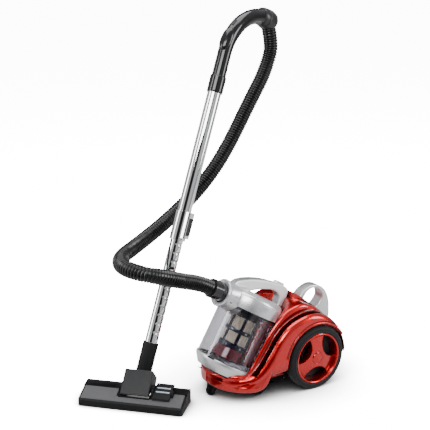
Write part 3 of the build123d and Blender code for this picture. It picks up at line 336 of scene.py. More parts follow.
# ------------------------------------------------------------------ hose
HOSE_ROUTE = [
    (0.2927, 0.1690, 0.8556), (0.3024, 0.1718, 0.8221), (0.2965, 0.1739, 0.7880),
    (0.2715, 0.1679, 0.7400), (0.2355, 0.1619, 0.6920), (0.1955, 0.1539, 0.6370),
    (0.1525, 0.1459, 0.5770), (0.1055, 0.1389, 0.5220), (0.0485, 0.1329, 0.4690),
    (-0.0155, 0.1279, 0.4250), (-0.0865, 0.1139, 0.3890), (-0.1625, 0.0879, 0.3640),
    (-0.2325, 0.0379, 0.3600), (-0.2605, -0.0241, 0.3600), (-0.2405, -0.0821, 0.3570),
    (-0.1925, -0.1021, 0.3450), (-0.1385, -0.0881, 0.3220), (-0.0757, -0.0761, 0.3000),
    (-0.0462, -0.0761, 0.2830),
]
HOSE_D = 0.039


def spline_points(points):
    """Points along the NURBS spline of a route."""
    curve = bpy.data.curves.new("route", "CURVE")
    curve.dimensions = "3D"
    spline = curve.splines.new("NURBS")
    spline.points.add(len(points) - 1)
    for p, c in zip(spline.points, points):
        p.co = (*c, 1)
    spline.order_u = 3
    spline.use_endpoint_u = True
    curve.resolution_u = 14
    o = bpy.data.objects.new("route", curve)
    bpy.context.scene.collection.objects.link(o)
    mesh = bpy.data.meshes.new_from_object(o)
    line = [v.co.copy() for v in mesh.vertices]
    bpy.data.objects.remove(o)
    bpy.data.meshes.remove(mesh)
    bpy.data.curves.remove(curve)
    return line


def even_points(line, step):
    """Points at even distances along a line, with its total length."""
    lengths = [0.0]
    for a, b in zip(line, line[1:]):
        lengths.append(lengths[-1] + (b - a).length)
    total = lengths[-1]
    count = max(int(round(total / step)), 1)
    out, i = [], 0
    for k in range(count + 1):
        s = total * k / count
        while i < len(lengths) - 2 and lengths[i + 1] < s:
            i += 1
        span = lengths[i + 1] - lengths[i]
        f = (s - lengths[i]) / span if span > 0 else 0
        out.append(line[i].lerp(line[i + 1], min(max(f, 0), 1)))
    return out, total


RIB_PITCH, RIB_DEPTH, RIB_SHAPE = 0.0068, 0.0028, 0.6
RIB_STEPS = 8           # rings of the mesh from one groove to the next
HOSE_SIDES = 44
HOSE_SPLIT = (0.0165, 0.1304, 0.4470)  # where the two lengths meet, behind the wand
UPPER_RUNS = 8          # runs of the route that the upper length takes


def rib_radius(turn):
    """Radius of the hose at a number of ribs along it; whole numbers are grooves."""
    return HOSE_D / 2 - RIB_DEPTH * (1 - (0.5 - 0.5 * cos(2 * pi * turn)) ** RIB_SHAPE)


def ribbed_hose(name, route, node):
    """One length of ribbed hose; a groove falls at each of its ends."""
    line, total = even_points(spline_points(route), RIB_PITCH / RIB_STEPS)
    ribs = max(round(total / RIB_PITCH), 1)
    radii = [rib_radius(i / (len(line) - 1) * ribs) for i in range(len(line))]
    o = tube_mesh(name, line, radii, "hose", HOSE_SIDES)
    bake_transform(o)
    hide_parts(node)


ribbed_hose("hose_ribbed_upper", HOSE_ROUTE[:UPPER_RUNS + 1] + [HOSE_SPLIT],
            "hose_upper")
ribbed_hose("hose_ribbed_lower", HOSE_ROUTE[:UPPER_RUNS:-1] + [HOSE_SPLIT],
            "hose_lower")


# ------------------------------------------------------------------ shaping helpers
def smooth_loop(points, step):
    """Closed Catmull-Rom curve through 2-D points, resampled at about an even step."""
    pts = [Vector(p) for p in points]
    n = len(pts)
    out = []
    for i in range(n):
        p0, p1, p2, p3 = pts[i - 1], pts[i], pts[(i + 1) % n], pts[(i + 2) % n]
        count = max(int((p2 - p1).length / step), 1)
        for k in range(count):
            t = k / count
            out.append(0.5 * ((2 * p1) + (p2 - p0) * t + (2 * p0 - 5 * p1 + 4 * p2 - p3) * t * t
                              + (3 * p1 - p0 - 3 * p2 + p3) * t ** 3))
    return out


EDGE_STEPS = 5          # strips in each rounded edge of a slab


def slab_rows(outline, low, high, rounding):
    """Rows of (points, across) from one rounded edge of a slab to the other."""
    n = len(outline)
    area = sum(outline[i - 1].x * outline[i].y - outline[i].x * outline[i - 1].y for i in range(n))
    turn = 1 if area > 0 else -1
    normals = []
    for i in range(n):
        t = (outline[(i + 1) % n] - outline[i - 1]).normalized()
        normals.append(Vector((t.y, -t.x)) * turn)
    rows = []
    r0, r1 = rounding
    for k in range(EDGE_STEPS + 1):
        a = pi / 2 * k / EDGE_STEPS
        rows.append((low + r0 * (1 - cos(a)), r0 * (1 - sin(a))))
    for k in range(EDGE_STEPS + 1):
        a = pi / 2 * k / EDGE_STEPS
        rows.append((high - r1 + r1 * sin(a), r1 * (1 - cos(a))))
    return [([p - nrm * inset for p, nrm in zip(outline, normals)], across)
            for across, inset in rows]


def slab(name, place, outline, low, high, rounding, finish, warp=None, angle=35):
    """A plate cut to an outline in local x and z, with rounded edges, from y low to y high."""
    rows = slab_rows(outline, low, high, rounding)
    n = len(outline)
    verts, faces = [], []
    for pts, across in rows:
        for p in pts:
            x, y, z = p.x, across, p.y
            if warp:
                x, y, z = warp(x, y, z)
            verts.append(place(x, y, z))
    for r in range(len(rows) - 1):
        for k in range(n):
            j = (k + 1) % n
            faces.append((r * n + k, r * n + j, (r + 1) * n + j, (r + 1) * n + k))
    faces.append(tuple(range(n))[::-1])
    faces.append(tuple((len(rows) - 1) * n + k for k in range(n)))
    return new_object(name, verts, faces, finish, angle=angle)


def lathe(name, place, profile, finish, segs=128, angle=35):
    """Turns a closed profile of (radius, height) round a place's z axis."""
    verts, faces = [], []
    m = len(profile)
    for s in range(segs):
        a = 2 * pi * s / segs
        for r, h in profile:
            verts.append(place(r * cos(a), r * sin(a), h))
    for s in range(segs):
        t = (s + 1) % segs
        for k in range(m):
            j = (k + 1) % m
            faces.append((s * m + k, t * m + k, t * m + j, s * m + j))
    o = new_object(name, verts, faces, finish)
    bm = bmesh.new()
    bm.from_mesh(o.data)
    bmesh.ops.remove_doubles(bm, verts=bm.verts, dist=1e-6)
    bmesh.ops.recalc_face_normals(bm, faces=bm.faces)
    bm.to_mesh(o.data)
    bm.free()
    o.data.set_sharp_from_angle(angle=radians(angle))
    return o


def block(name, place, low, high, finish="black", round_by=0.0):
    """A box between two local corners, with rounded edges if asked."""
    (x0, y0, z0), (x1, y1, z1) = low, high
    verts = [place(x, y, z) for z in (z0, z1) for y in (y0, y1) for x in (x0, x1)]
    faces = [(0, 2, 3, 1), (4, 5, 7, 6), (0, 1, 5, 4), (2, 6, 7, 3), (0, 4, 6, 2), (1, 3, 7, 5)]
    o = new_object(name, verts, faces, finish, smooth=round_by > 0)
    if round_by > 0:
        round_off(o, round_by)
    return o


def settle(o):
    """Applies an object's modifiers."""
    graph = bpy.context.evaluated_depsgraph_get()
    mesh = bpy.data.meshes.new_from_object(o.evaluated_get(graph))
    o.modifiers.clear()
    o.data = mesh
    return o


def smooth_from(o, angle):
    """Shades a piece smooth, with edges sharper than the angle left crisp."""
    o.data.polygons.foreach_set("use_smooth", [True] * len(o.data.polygons))
    o.data.set_sharp_from_angle(angle=radians(angle))


def round_off(o, width, limit=35):
    """Rounds the sharp edges of a piece."""
    m = o.modifiers.new("round", "BEVEL")
    m.width = width * MM
    m.segments = 3
    m.limit_method = "ANGLE"
    m.angle_limit = radians(limit)
    settle(o)
    smooth_from(o, 40)


def cut(o, cutters, how="DIFFERENCE"):
    """Cuts other pieces out of one, or joins them to it, and removes them."""
    for c in cutters:
        m = o.modifiers.new("cut", "BOOLEAN")
        m.operation = how
        m.object = c
        m.solver = "EXACT"
    settle(o)
    for c in cutters:
        bpy.data.objects.remove(c)
    return o


def melt(o, voxel, passes):
    """Rebuilds a piece as one skin and softens it, so that joined shapes run into each other."""
    m = o.modifiers.new("skin", "REMESH")
    m.mode = "VOXEL"
    m.voxel_size = voxel * MM
    m = o.modifiers.new("soft", "SMOOTH")
    m.factor = 0.5
    m.iterations = passes
    settle(o)
    o.data.polygons.foreach_set("use_smooth", [True] * len(o.data.polygons))
    return o


def join(name, parts):
    """Several meshes as one piece."""
    bm = bmesh.new()
    materials = []
    for p in parts:
        start = len(bm.faces)
        bm.from_mesh(p.data)
        bm.faces.ensure_lookup_table()
        for m in p.data.materials:
            if m not in materials:
                materials.append(m)
        index = [materials.index(m) for m in p.data.materials]
        for f in bm.faces[start:]:
            f.material_index = index[min(f.material_index, len(index) - 1)]
    mesh = bpy.data.meshes.new(name)
    bm.to_mesh(mesh)
    bm.free()
    for m in materials:
        mesh.materials.append(m)
    for p in parts:
        bpy.data.objects.remove(p)
    o = bpy.data.objects.new(name, mesh)
    bpy.context.scene.collection.objects.link(o)
    return o


def stands(o, body, slot, *nodes):
    """Puts a piece on its body in place of CAD nodes; its material slot is not used."""
    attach(o, body)
    if nodes:
        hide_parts(*nodes)


# ------------------------------------------------------------------ red shell
CORE_TOP = [(-262, 38), (-263, 54), (-258, 66), (-240, 72), (-214, 72), (-192, 76), (-172, 92),
            (-150, 122), (-125, 158), (-99, 187), (-64, 211), (-22, 219), (7, 209), (30, 193),
            (58, 167), (80, 138), (91, 102), (91, 42), (40, 40), (-205, 40), (-240, 36)]
BAND = [(-258, 38), (-259, 48), (-252, 58), (-226, 60), (-196, 64), (-176, 74), (-155, 94),
        (-133, 124), (-111, 155), (-84, 179), (-49, 194), (-12, 199), (22, 192), (54, 170),
        (79, 138), (93, 104), (95.5, 84), (91, 76), (60, 76), (0, 70), (-60, 76), (-100, 84),
        (-116, 84), (-127, 76), (-137, 55), (-149, 35), (-168, 25), (-192, 23), (-226, 27),
        (-250, 32)]
NOSE_X, NOSE_HALF, NOSE_RUN = -259.0, 104.0, 118.0
CORE_HALF, BAND_HALF = 80, 112
CHANNEL_IN, CHANNEL_OUT, CHANNEL_DEEP = 83.5, 99.0, 15.5
SEAT_R, WELL_R = 79.3, 88.6


def nose_half(x):
    """Half the shell's width, round at the nose."""
    t = min(max((x - NOSE_X) / NOSE_RUN, 0.0), 1.0)
    half = NOSE_HALF + 8 * min(max((x + 190) / 60, 0), 1)
    return half * sqrt(max(1 - (1 - t) ** 2, 0.0)) + 0.01


def shell_cutters():
    """What is taken out of the shell: cup seat, handle groove, wheel wells and pedal windows."""
    cutters = [
        lathe("seat", CUP, [(0.01, -28), (62.5, -28), (SEAT_R, -1), (SEAT_R, 300), (0.01, 300)],
              "red", segs=160),
        block("groove", CUP, (28, -16.5, 167), (88, 16.5, 337)),
    ]
    for low, high in ((-130, -70), (70, 130)):
        place = Place(CANISTER(0, low, AXLE_Z), (1, 0, 0), (0, 0, 1), (0, 1, 0))
        well = [(0.01, 0), (WELL_R, 0), (WELL_R, high - low), (0.01, high - low)]
        cutters.append(lathe("well", place, well, "red"))
    for y in (-46, 46):
        cutters.append(block("window", CANISTER, (17.5, y - 15.5, 150), (54.5, y + 15.5, 240)))
    return cutters


HOLLOW = [(-98, 28), (-100, 150), (-80, 184), (-58, 202), (-22, 210), (4, 200), (25, 185),
          (52, 160), (72, 134), (83, 99), (84, 28)]


def hollow_piece():
    """The room inside the shell, clear of the cup's cradle."""
    hollow = slab("hollow", CANISTER, [Vector(p) for p in HOLLOW], -66, 66, (0.5, 0.5), "red")
    keep = lathe("keep", CUP, [(0.01, -60), (83, -60), (83, 330), (0.01, 330)], "red", segs=96)
    return cut(hollow, [keep, block("keep", CUP, (25, -20, 160), (92, 20, 340))])


CHANNEL = [(-204, 96), (-194, 78), (-182, 68), (-168, 62), (-150, 68), (-132, 86), (-116, 110),
           (-98, 138), (-76, 160), (-46, 174), (-12, 178), (14, 174), (34, 164), (44, 170),
           (40, 220), (-60, 240), (-160, 180), (-220, 100)]
BAND_TOP = [(-196, 64), (-150, 94), (-111, 155), (-49, 194), (22, 192), (54, 170)]


def below_band(x, z):
    """Whether a point lies in the channel between the cup's cradle and the wheel arches, where the
    red is darkened as painted shade.
    """
    inside = False
    for (x0, z0), (x1, z1) in zip(CHANNEL, CHANNEL[1:] + CHANNEL[:1]):
        if (z0 > z) != (z1 > z) and x < x0 + (z - z0) / (z1 - z0) * (x1 - x0):
            inside = not inside
    top = 300
    for (x0, z0), (x1, z1) in zip(BAND_TOP, BAND_TOP[1:]):
        if x0 <= x <= x1:
            top = z0 + (x - x0) / (x1 - x0) * (z1 - z0)
    return inside and z < top - 5


def shell_piece():
    def wrap(half):
        def warp(x, y, z):
            return x, y * min(1.0, nose_half(x) / half), z
        return warp

    core = slab("core", CANISTER, smooth_loop(CORE_TOP, 2.0), -CORE_HALF, CORE_HALF, (9, 9), "red",
                warp=wrap(CORE_HALF))
    band = slab("band", CANISTER, smooth_loop(BAND, 2.0), -BAND_HALF, BAND_HALF, (14, 14), "red",
                warp=wrap(BAND_HALF))
    cut(band, [block("tail", CANISTER, (58, -66, -20), (140, 66, 260))])
    body = melt(join("shell", [core, band]), 1.6, 5)
    channels = [slab("channel", CANISTER, smooth_loop(CHANNEL, 2.0), low, low + CHANNEL_DEEP,
                     (1.5, 1.5), "shaded_red") for low in (-CHANNEL_OUT, CHANNEL_IN)]
    cut(body, channels + shell_cutters() + [hollow_piece()])
    body.data.materials.clear()
    body.data.materials.append(MAT["red"])
    body.data.materials.append(MAT["shaded_red"])
    # faces of the channel beside the cup and of the core's side walls there take the dark red copy:
    # painted shade in the recess
    for f in body.data.polygons:
        across = abs(f.center.y - CENTRE_Y) / MM
        x, z = (f.center.x - WHEEL_AXIS.x) / MM, f.center.z / MM
        beside = 80.2 < across < 98 and z > 70
        f.material_index = int(beside and (abs(f.normal.y) > 0.55 or below_band(x, z)))
    return body


shell = shell_piece()
smooth_from(shell, 40)
shell.name = "shell_skin"
stands(shell, "canister", "red_gloss", "upper_shell")


def arc_bead(name, radius, y, thick, start, stop, finish):
    """A bead round a wheel arch, between two angles, thinner at its ends."""
    pts = []
    count = 90
    for k in range(count + 1):
        a = radians(start + (stop - start) * k / count)
        pts.append(CANISTER(radius * cos(a), y, AXLE_Z + radius * sin(a)))
    radii = [thick * MM * (0.35 if k in (0, count) else 1) for k in range(count + 1)]
    return tube_mesh(name, pts, radii, finish, sides=14)


# a thin lip round each wheel arch; above it a black bead stands in for the groove, whose darkness
# is painted shade
for out, side_name in ((-1, "left"), (1, "right")):
    lip = join("arch_lip_" + side_name, [
        arc_bead("lip", 91.8, out * 110.6, 2.8, 30, 172, "red"),
        arc_bead("groove", 96.4, out * 111.9, 0.8, 34, 170, "black"),
    ])
    stands(lip, "canister", "red_gloss")


# ------------------------------------------------------------------ wheels
def wheel(out, side_name):
    """Tyre and three-spoke rim; out is -1 on the left and 1 on the right."""
    place = Place(CANISTER(0, out * 79, AXLE_Z), (1, 0, 0), (0, 0, 1), (0, out, 0))
    tyre = lathe("tyre_skin_" + side_name, place, [
        (67, 4), (74, 4), (79, 5.5), (81.6, 9), (82, 14), (82, 27), (81.4, 31.5), (79, 35.2),
        (75.5, 37.2), (74, 36.6), (72.5, 37.7), (69, 37.9), (66.6, 36.4), (66.4, 20)],
        "tyre", segs=160, angle=60)
    stands(tyre, "wheel_" + side_name, "tyre", "tyre_" + side_name)
    ring = lathe("ring", place, [
        (66.2, 0.5), (66.3, 35), (65.4, 37.4), (63.6, 38), (61.8, 37.2), (60.6, 35), (59.4, 24),
        (59.4, 3), (8, 3), (8, 0.5)], "red")
    dish = lathe("dish", place, [
        (7.1, 14), (7.1, 33.5), (14.6, 33.5), (15.2, 32.7), (15.8, 32.7), (16.4, 33.5),
        (24, 33.2), (38, 31.2), (50, 28.6), (60, 26.8), (60, 12)], "red")
    gaps = []
    for k in range(3):
        a = radians(-90 + 120 * k)
        gap_place = Place(place(62 * cos(a), 62 * sin(a), 0), place.x, place.y, place.z)
        gaps.append(lathe("gap", gap_place, [(0.01, 6), (38, 6), (38, 44), (0.01, 44)], "red",
                          segs=96))
    cut(dish, gaps)
    round_off(dish, 1.6, limit=50)
    cap = lathe("cap", place, [(0.01, 20), (14.4, 20), (14.4, 33.6), (13.4, 34.8), (7, 35.8),
                               (0.01, 36)], "red", segs=64)
    back = lathe("back", place, [(9, 4), (58.9, 4), (58.9, 7), (9, 7)], "charcoal", segs=96)
    drum = lathe("drum", place, [(33, 7), (36, 7), (36, 16), (33, 16)], "black", segs=96)
    rim = join("rim_skin_" + side_name, [ring, dish, cap, back, drum])
    stands(rim, "wheel_" + side_name, "red_gloss", "rim_" + side_name)


wheel(-1, "left")
wheel(1, "right")


# ------------------------------------------------------------------ dust cup
lid = lathe("lid", CUP, [
    (0.01, 146), (70, 146), (72.2, 144.2), (77, 144.2), (77.4, 146), (77.4, 170), (76.2, 176),
    (72.5, 181.5), (67, 184.6), (50, 186.6), (0.01, 188)], "silver", segs=160)
COLLAR_IN = Place(CUP(0, 0, 157), COLLAR.x, COLLAR.y, COLLAR.z)
collar = lathe("collar", COLLAR_IN, [
    (24.5, 50), (41, 50), (38.5, 62), (36.5, 74), (35.2, 86), (34.6, 98), (35.0, 99.2),
    (35.6, 100.4), (35.6, 104.6), (34.8, 105.8), (30.5, 105.8), (29.5, 104), (24.5, 104)],
    "silver", segs=96)
HANDLE = [(-84, 176), (-80, 196), (-64, 208), (-35, 220), (0, 229), (36, 233.5), (64, 235),
          (79, 230), (85, 216), (86.5, 186), (80, 176), (70, 178), (67, 190), (61, 206),
          (38, 214), (5, 206), (-28, 191), (-52, 176), (-66, 168)]
handle = slab("handle", CUP, smooth_loop(HANDLE, 2.0), -15, 15, (5, 5), "silver")
cut(lid, [collar, handle], "UNION")
bore = lathe("bore", COLLAR_IN, [(0.01, 40), (24.4, 40), (24.4, 120), (0.01, 120)], "silver",
             segs=96)
cut(lid, [bore])
melt(lid, 1.3, 7)
lid.name = "lid_skin"
pearl_index = len(lid.data.materials)  # the handle's cheeks are paler than the lid
lid.data.materials.append(MAT["pearl"])
for f in lid.data.polygons:
    local = f.center - CUP_FOOT
    height = local.dot(CUP_AXIS) / MM
    if abs(f.normal.y) > 0.6 and height > 186 and abs(local.y) / MM > 8:
        f.material_index = pearl_index
stands(lid, "dust_cup", "silver", "cup_lid", "cup_handle", "inlet_collar")

slot_out = (COLLAR_IN.x * -0.34 - COLLAR_IN.y * 0.94).normalized()
slot_place = Place(COLLAR_IN(0, 0, 88) + slot_out * 35.0 * MM, COLLAR_IN.z,
                   slot_out.cross(COLLAR_IN.z), slot_out)
stands(block("collar_slot", slot_place, (-3.6, -1.2, -1.5), (3.6, 1.2, 0.5), "black", 0.4),
       "dust_cup", "black_plastic")

button = slab("button_skin", CUP, smooth_loop([(38, 226.8), (38.6, 238.4), (41, 240.2), (52, 240.8),
                                               (63, 240.2), (65.4, 238.4), (66, 226.8)], 1.0),
              -7.4, 7.4, (2.2, 2.2), "pearl")
stands(button, "release_button", "silver", "release_button")

cup = lathe("cup_skin", CUP, [(72.6, -0.1), (75, -0.1), (75, 143.8), (72.6, 143.8)], "clear",
            segs=192, angle=30)
stands(cup, "dust_cup", "clear", "cup_wall")

ring = lathe("foot_ring", CUP, [
    (64, -22), (60.5, -23), (61.5, -24.5), (63.5, -24), (77.2, -4), (77.9, -1), (77.9, 3),
    (77, 4.2), (75.2, 4.2), (75.1, -0.2), (66, -0.2), (64, -4)],
    "silver", segs=160, angle=22)
cut(ring, [block("step", CUP, (-80, -40, 0.6), (-30, -20, 8))])
stands(ring, "dust_cup", "silver", "cup_base_ring")

door = lathe("door_skin", CUP, [(0.01, -22), (58.5, -22), (60, -20.5), (60, -18), (0.01, -18)],
             "silver")
stands(door, "dust_cup", "silver", "bottom_door")

# filter cage: end bands, posts with windows between them, small bright screws
cage_parts = [
    lathe("cap", CUP, [(30, 122), (36, 122), (37, 124), (40, 134), (41, 143.6), (30, 143.6)],
          "cage", segs=96),
    lathe("foot", CUP, [(32, 40), (36, 40), (37.5, 42), (37.5, 52), (35, 54), (32, 54)], "cage",
          segs=96),
    lathe("mid", CUP, [(32, 82), (35.6, 82), (36, 83), (36, 90), (35.6, 91), (32, 91)], "cage",
          segs=96),
]
for k in range(6):
    a = radians(-90 - 31 + 60 * k)
    post = Place(CUP.o, CUP.x * cos(a) + CUP.y * sin(a), CUP.y * cos(a) - CUP.x * sin(a), CUP.z)
    cage_parts.append(block("post", post, (31, -3.3, 44), (36.2, 3.3, 132), "cage", 0.6))
    for h, spread in ((47, 13), (86.5, 12), (129, 13)):
        turn = radians(spread * 2)
        out = post.x * cos(turn) + post.y * sin(turn)
        turned = Place(CUP.o + (out * 36.0 + CUP.z * h) * MM, CUP.z.cross(out), CUP.z, out)
        head = [(0.01, 0), (2.7, 0), (2.7, 1.2), (1.8, 2.1), (0.01, 2.2)]
        cage_parts.append(lathe("screw", turned, head, "steel", segs=16))
stands(join("cage_skin", cage_parts), "dust_cup", "dark_cage", "filter_cage")


def pleats():
    """The paper filter: a star of folds between its two ends."""
    verts, faces = [], []
    n = 2 * 96
    for h in (44, 134):
        for k in range(n):
            a = 2 * pi * k / n
            r = 33.6 if k % 2 else 31.4
            verts.append(CUP(r * cos(a), r * sin(a), h))
    for k in range(n):
        j = (k + 1) % n
        faces.append((k, j, n + j, n + k))
    faces.append(tuple(range(n))[::-1])
    faces.append(tuple(range(n, 2 * n)))
    return new_object("pleat_pack", verts, faces, "pleats", smooth=False)


stands(pleats(), "dust_cup", "pleats", "filter_pleats")
skirt = lathe("skirt_skin", CUP, [(0.01, 38), (34.5, 41.8), (37, 40), (44, 15), (43.4, 13.4),
                                  (41.6, 14), (34, 36), (0.01, 34)], "skirt")
stands(skirt, "dust_cup", "skirt_red", "filter_skirt")

# ------------------------------------------------------------------ carry handle and rear cover
LOOP = [(6, 196), (20, 218), (38, 230), (58, 235), (80, 229), (97, 214), (107, 192), (110, 166),
        (108, 138), (96, 136), (80, 150), (66, 170), (76, 181), (86, 196), (84, 212), (72, 223),
        (56, 227), (38, 220), (26, 206), (20, 194)]


def loop_warp(x, y, z):
    """The loop is narrower at its crown and spreads to its feet."""
    lift = min(max((z - 150) / 85, 0), 1)
    return x, y * (1.0 - 0.22 * lift), z


loop = slab("loop_skin", CANISTER, smooth_loop(LOOP, 1.5), -20, 20, (3.6, 3.6), "silver",
            warp=loop_warp)
stands(loop, "canister", "silver", "carry_handle")

REAR = [(56, 170), (70, 163), (84, 150), (93, 132), (97, 110), (98, 84), (97, 56), (92, 42),
        (74, 40), (72, 110), (56, 150)]
rear = slab("rear_skin", CANISTER, smooth_loop(REAR, 2.0), -63, 63, (12, 12), "pearl")
cut(rear, [block("slot", CANISTER, (88, -44, z), (130, 44, z + 3.2)) for z in range(58, 122, 8)])
stands(rear, "canister", "pearl", "rear_cover")

# crisp band round the lid
rim_band = lathe("lid_rim", CUP, [(76.4, 143.9), (77.9, 144.3), (78.1, 146), (78.1, 170),
                                  (77.7, 171.2), (76.4, 171.6)], "silver",
                 segs=160, angle=25)
stands(rim_band, "dust_cup", "silver")

# ------------------------------------------------------------------ handle on top of the wand
BEND_R, BEND_Z, GRIP_Z = 133.0, 845.4, 740.4
STRAIGHT = BEND_Z - GRIP_Z


def grip_point(along):
    """Middle of the grip at a mark (millimetres from its lower end), its outer side and its run."""
    if along <= STRAIGHT:
        return WAND(0, 0, GRIP_Z + along), -WAND_X, WAND_Z
    a = (along - STRAIGHT) / BEND_R
    out = -WAND_X * cos(a) + WAND_Z * sin(a)
    return WAND(BEND_R, 0, BEND_Z) + out * BEND_R * MM, out, WAND_X * sin(a) + WAND_Z * cos(a)


GRIP_SIZES = [(0, 20.0), (1.5, 20.4), (41, 20.6), (42.5, 20.2), (43.5, 18.2), (70, 17.8),
              (105, 17.8), (150, 18.8), (185, 19.2), (230, 18.8), (270, 19.4), (292, 20.6),
              (300, 20.4)]


def grip_radius(along):
    for (a, ra), (b, rb) in zip(GRIP_SIZES, GRIP_SIZES[1:]):
        if a <= along <= b:
            t = (along - a) / (b - a)
            return ra + (rb - ra) * t
    return GRIP_SIZES[-1][1]


grip_marks = sorted({s for s, r in GRIP_SIZES} | {float(k) for k in range(0, 301, 4)})
grip = tube_mesh("grip_skin", [grip_point(s)[0] for s in grip_marks],
                 [grip_radius(s) * MM for s in grip_marks], "black_gloss", sides=64)
stands(grip, "upper_wand", "black_gloss", "handle_grip")

PAD_SUNK = 1.2          # how far a pad's rim lies inside the grip


def grip_patch(name, start, stop, spread, turn, lift, finish, ribs=0):
    """A pad on the grip between two marks, oval or, with ribs, squarer and ribbed lengthways.

    spread is half the angle that it takes round the grip, turn its middle from the outer side.
    """
    verts, faces = [], []
    rows, cols = 72, 28
    for i in range(rows + 1):
        u = 2 * i / rows - 1
        mark = start + (stop - start) * i / rows
        centre, out, along = grip_point(mark)
        side = along.cross(out)
        r = grip_radius(mark)
        for k in range(cols + 1):
            v = 2 * k / cols - 1
            if ribs:
                width = sqrt(max(1 - u ** 6, 0.02))
                rib = (0.35 * cos(pi * ribs * v) - 0.2) * (1 - abs(u) ** 9)
                dome = lift * (1 - v ** 8) * (1 - u ** 16) + rib
            else:
                width = sqrt(max(1 - u * u, 0.0))
                dome = lift * sqrt(max(1 - v * v, 0.0)) * sqrt(max(1 - u ** 4, 0.0))
            a = radians(turn + spread * v * width)
            edge = i in (0, rows) or k in (0, cols)
            height = r + (-PAD_SUNK if edge else dome)
            verts.append(centre + (out * cos(a) + side * sin(a)) * height * MM)
    n = cols + 1
    for i in range(rows):
        for k in range(cols):
            faces.append((i * n + k, i * n + k + 1, (i + 1) * n + k + 1, (i + 1) * n + k))
    o = new_object(name, verts, faces, finish, angle=60)
    _, out, along = grip_point((start + stop) / 2)
    facing = out * cos(radians(turn)) + along.cross(out) * sin(radians(turn))
    if sum((f.normal for f in o.data.polygons), Vector()).dot(facing) < 0:
        o.data.flip_normals()
    return o


stands(grip_patch("grip_pad", 106, 163, 58, 12, 5.6, "black_gloss"), "upper_wand", "black_gloss")
stands(grip_patch("inlay_skin", 150, 286, 60, 180, 0.9, "grey_button", ribs=5), "upper_wand",
       "grey_button", "grip_inlay")

KNUCKLE = Place(BALL, WAND_Y, WAND_Z, WAND_X)
knuckle = lathe("knuckle", KNUCKLE, [
    (0.01, 27.6), (9, 27.2), (16, 25), (21.5, 20.8), (25, 14.5), (26.8, 6), (27.2, 0), (27, -8),
    (26.2, -14.2), (24.4, -15), (24.4, -17), (25.8, -17.8), (24.8, -25), (22.6, -32), (20.4, -35),
    (0.01, -35)], "knuckle",
    segs=96, angle=50)
stands(knuckle, "upper_wand", "black_gloss", "handle_elbow")

CUFF_START, CUFF_LENGTH, CUFF_STEPS, STEPS_A_RIB = 6, 30.0, 40, 9
cuff_line = [BALL + EXIT * MM * (CUFF_START + CUFF_LENGTH * k / CUFF_STEPS)
             for k in range(CUFF_STEPS + 1)]
cuff_radii = [rib_radius(k / STEPS_A_RIB) for k in range(CUFF_STEPS + 1)]
cuff = tube_mesh("cuff_skin", cuff_line, cuff_radii, "hose", HOSE_SIDES)
stands(cuff, "hose_cuff_upper", "hose_black", "hose_cuff_upper")

# the inner tube of the wand: eleven dents for the latch along one side
TUBE_R, BORE_R, TUBE_FOOT, TUBE_TOP = 16.0, 14.2, 64.0, 438.0
DENTS, DENT_FIRST, DENT_PITCH = 11, 126.0, 22.5
DENT_HALF, DENT_DEPTH, DENT_SPREAD = 3.6, 1.5, 62.0  # half its length, its depth, half its angle
tube_marks = [TUBE_FOOT, TUBE_TOP]
for k in range(DENTS):
    tube_marks += [DENT_FIRST + k * DENT_PITCH + DENT_HALF * j / 4 for j in range(-4, 5)]
tube_wall = [(TUBE_R, h) for h in sorted(tube_marks)] + [(BORE_R, TUBE_TOP), (BORE_R, TUBE_FOOT)]
tube = lathe("tube_skin", WAND, tube_wall, "chrome", segs=144, angle=60)
for v in tube.data.vertices:
    off = v.co - WAND.o
    x, y, h = off.dot(WAND.x) / MM, off.dot(WAND.y) / MM, off.dot(WAND.z) / MM
    nearest = min(DENTS - 1, max(0, round((h - DENT_FIRST) / DENT_PITCH)))
    away = abs(h - DENT_FIRST - DENT_PITCH * nearest) / DENT_HALF
    turn = degrees(acos(max(-1.0, min(1.0, -y / TUBE_R)))) / DENT_SPREAD
    outside = x * x + y * y > (TUBE_R - 1) ** 2
    if outside and away < 1 and turn < 1:
        dent = DENT_DEPTH * (0.5 + 0.5 * cos(pi * away)) * min(1.0, 3 * (1 - turn))
        v.co -= (WAND.x * x + WAND.y * y) / TUBE_R * dent * MM
tube.data.update()
stands(tube, "canister", "chrome", "lower_tube")

# ------------------------------------------------------------------ floor head
ACROSS = Place(HEAD(0, 0, 0), HEAD_V, HEAD_U, UP)
# v + z is the same all over the sloped face of the hood
face_sum = (CORNER - HEAD.o).dot(HEAD_V) / MM + CORNER.z / MM - 9 * sqrt(2)
pivot = Vector(JOINTS["neck_pitch"]["pos_m"]) - HEAD.o
pivot_v, pivot_z = pivot.dot(HEAD_V) / MM, pivot.z / MM
hood_line = [(-21.3, 31), (-21, 33.4), (face_sum - 80, 76), (face_sum - 77, 78),
             (face_sum - 74, 76), (face_sum - 44, 46), (pivot_v + 38, pivot_z - 2),
             (pivot_v + 18, pivot_z - 9), (pivot_v - 14, pivot_z - 7.5)]
HOOD_U, HOOD_HALF = 5, 35.5
hood = slab("hood_skin", ACROSS, [Vector(p) for p in hood_line], HOOD_U - HOOD_HALF,
            HOOD_U + HOOD_HALF, (1.2, 1.2), "charcoal", angle=25)
swivel = (HEAD_V + UP).normalized()
mouth = lathe("mouth", Place(CORNER, HEAD_U, HEAD_U.cross(swivel), swivel),
              [(0.01, -24), (15.9, -24), (15.9, 10), (0.01, 10)], "charcoal", segs=64)
cut(hood, [mouth])
stands(hood, "neck", "black_plastic", "neck_hood")

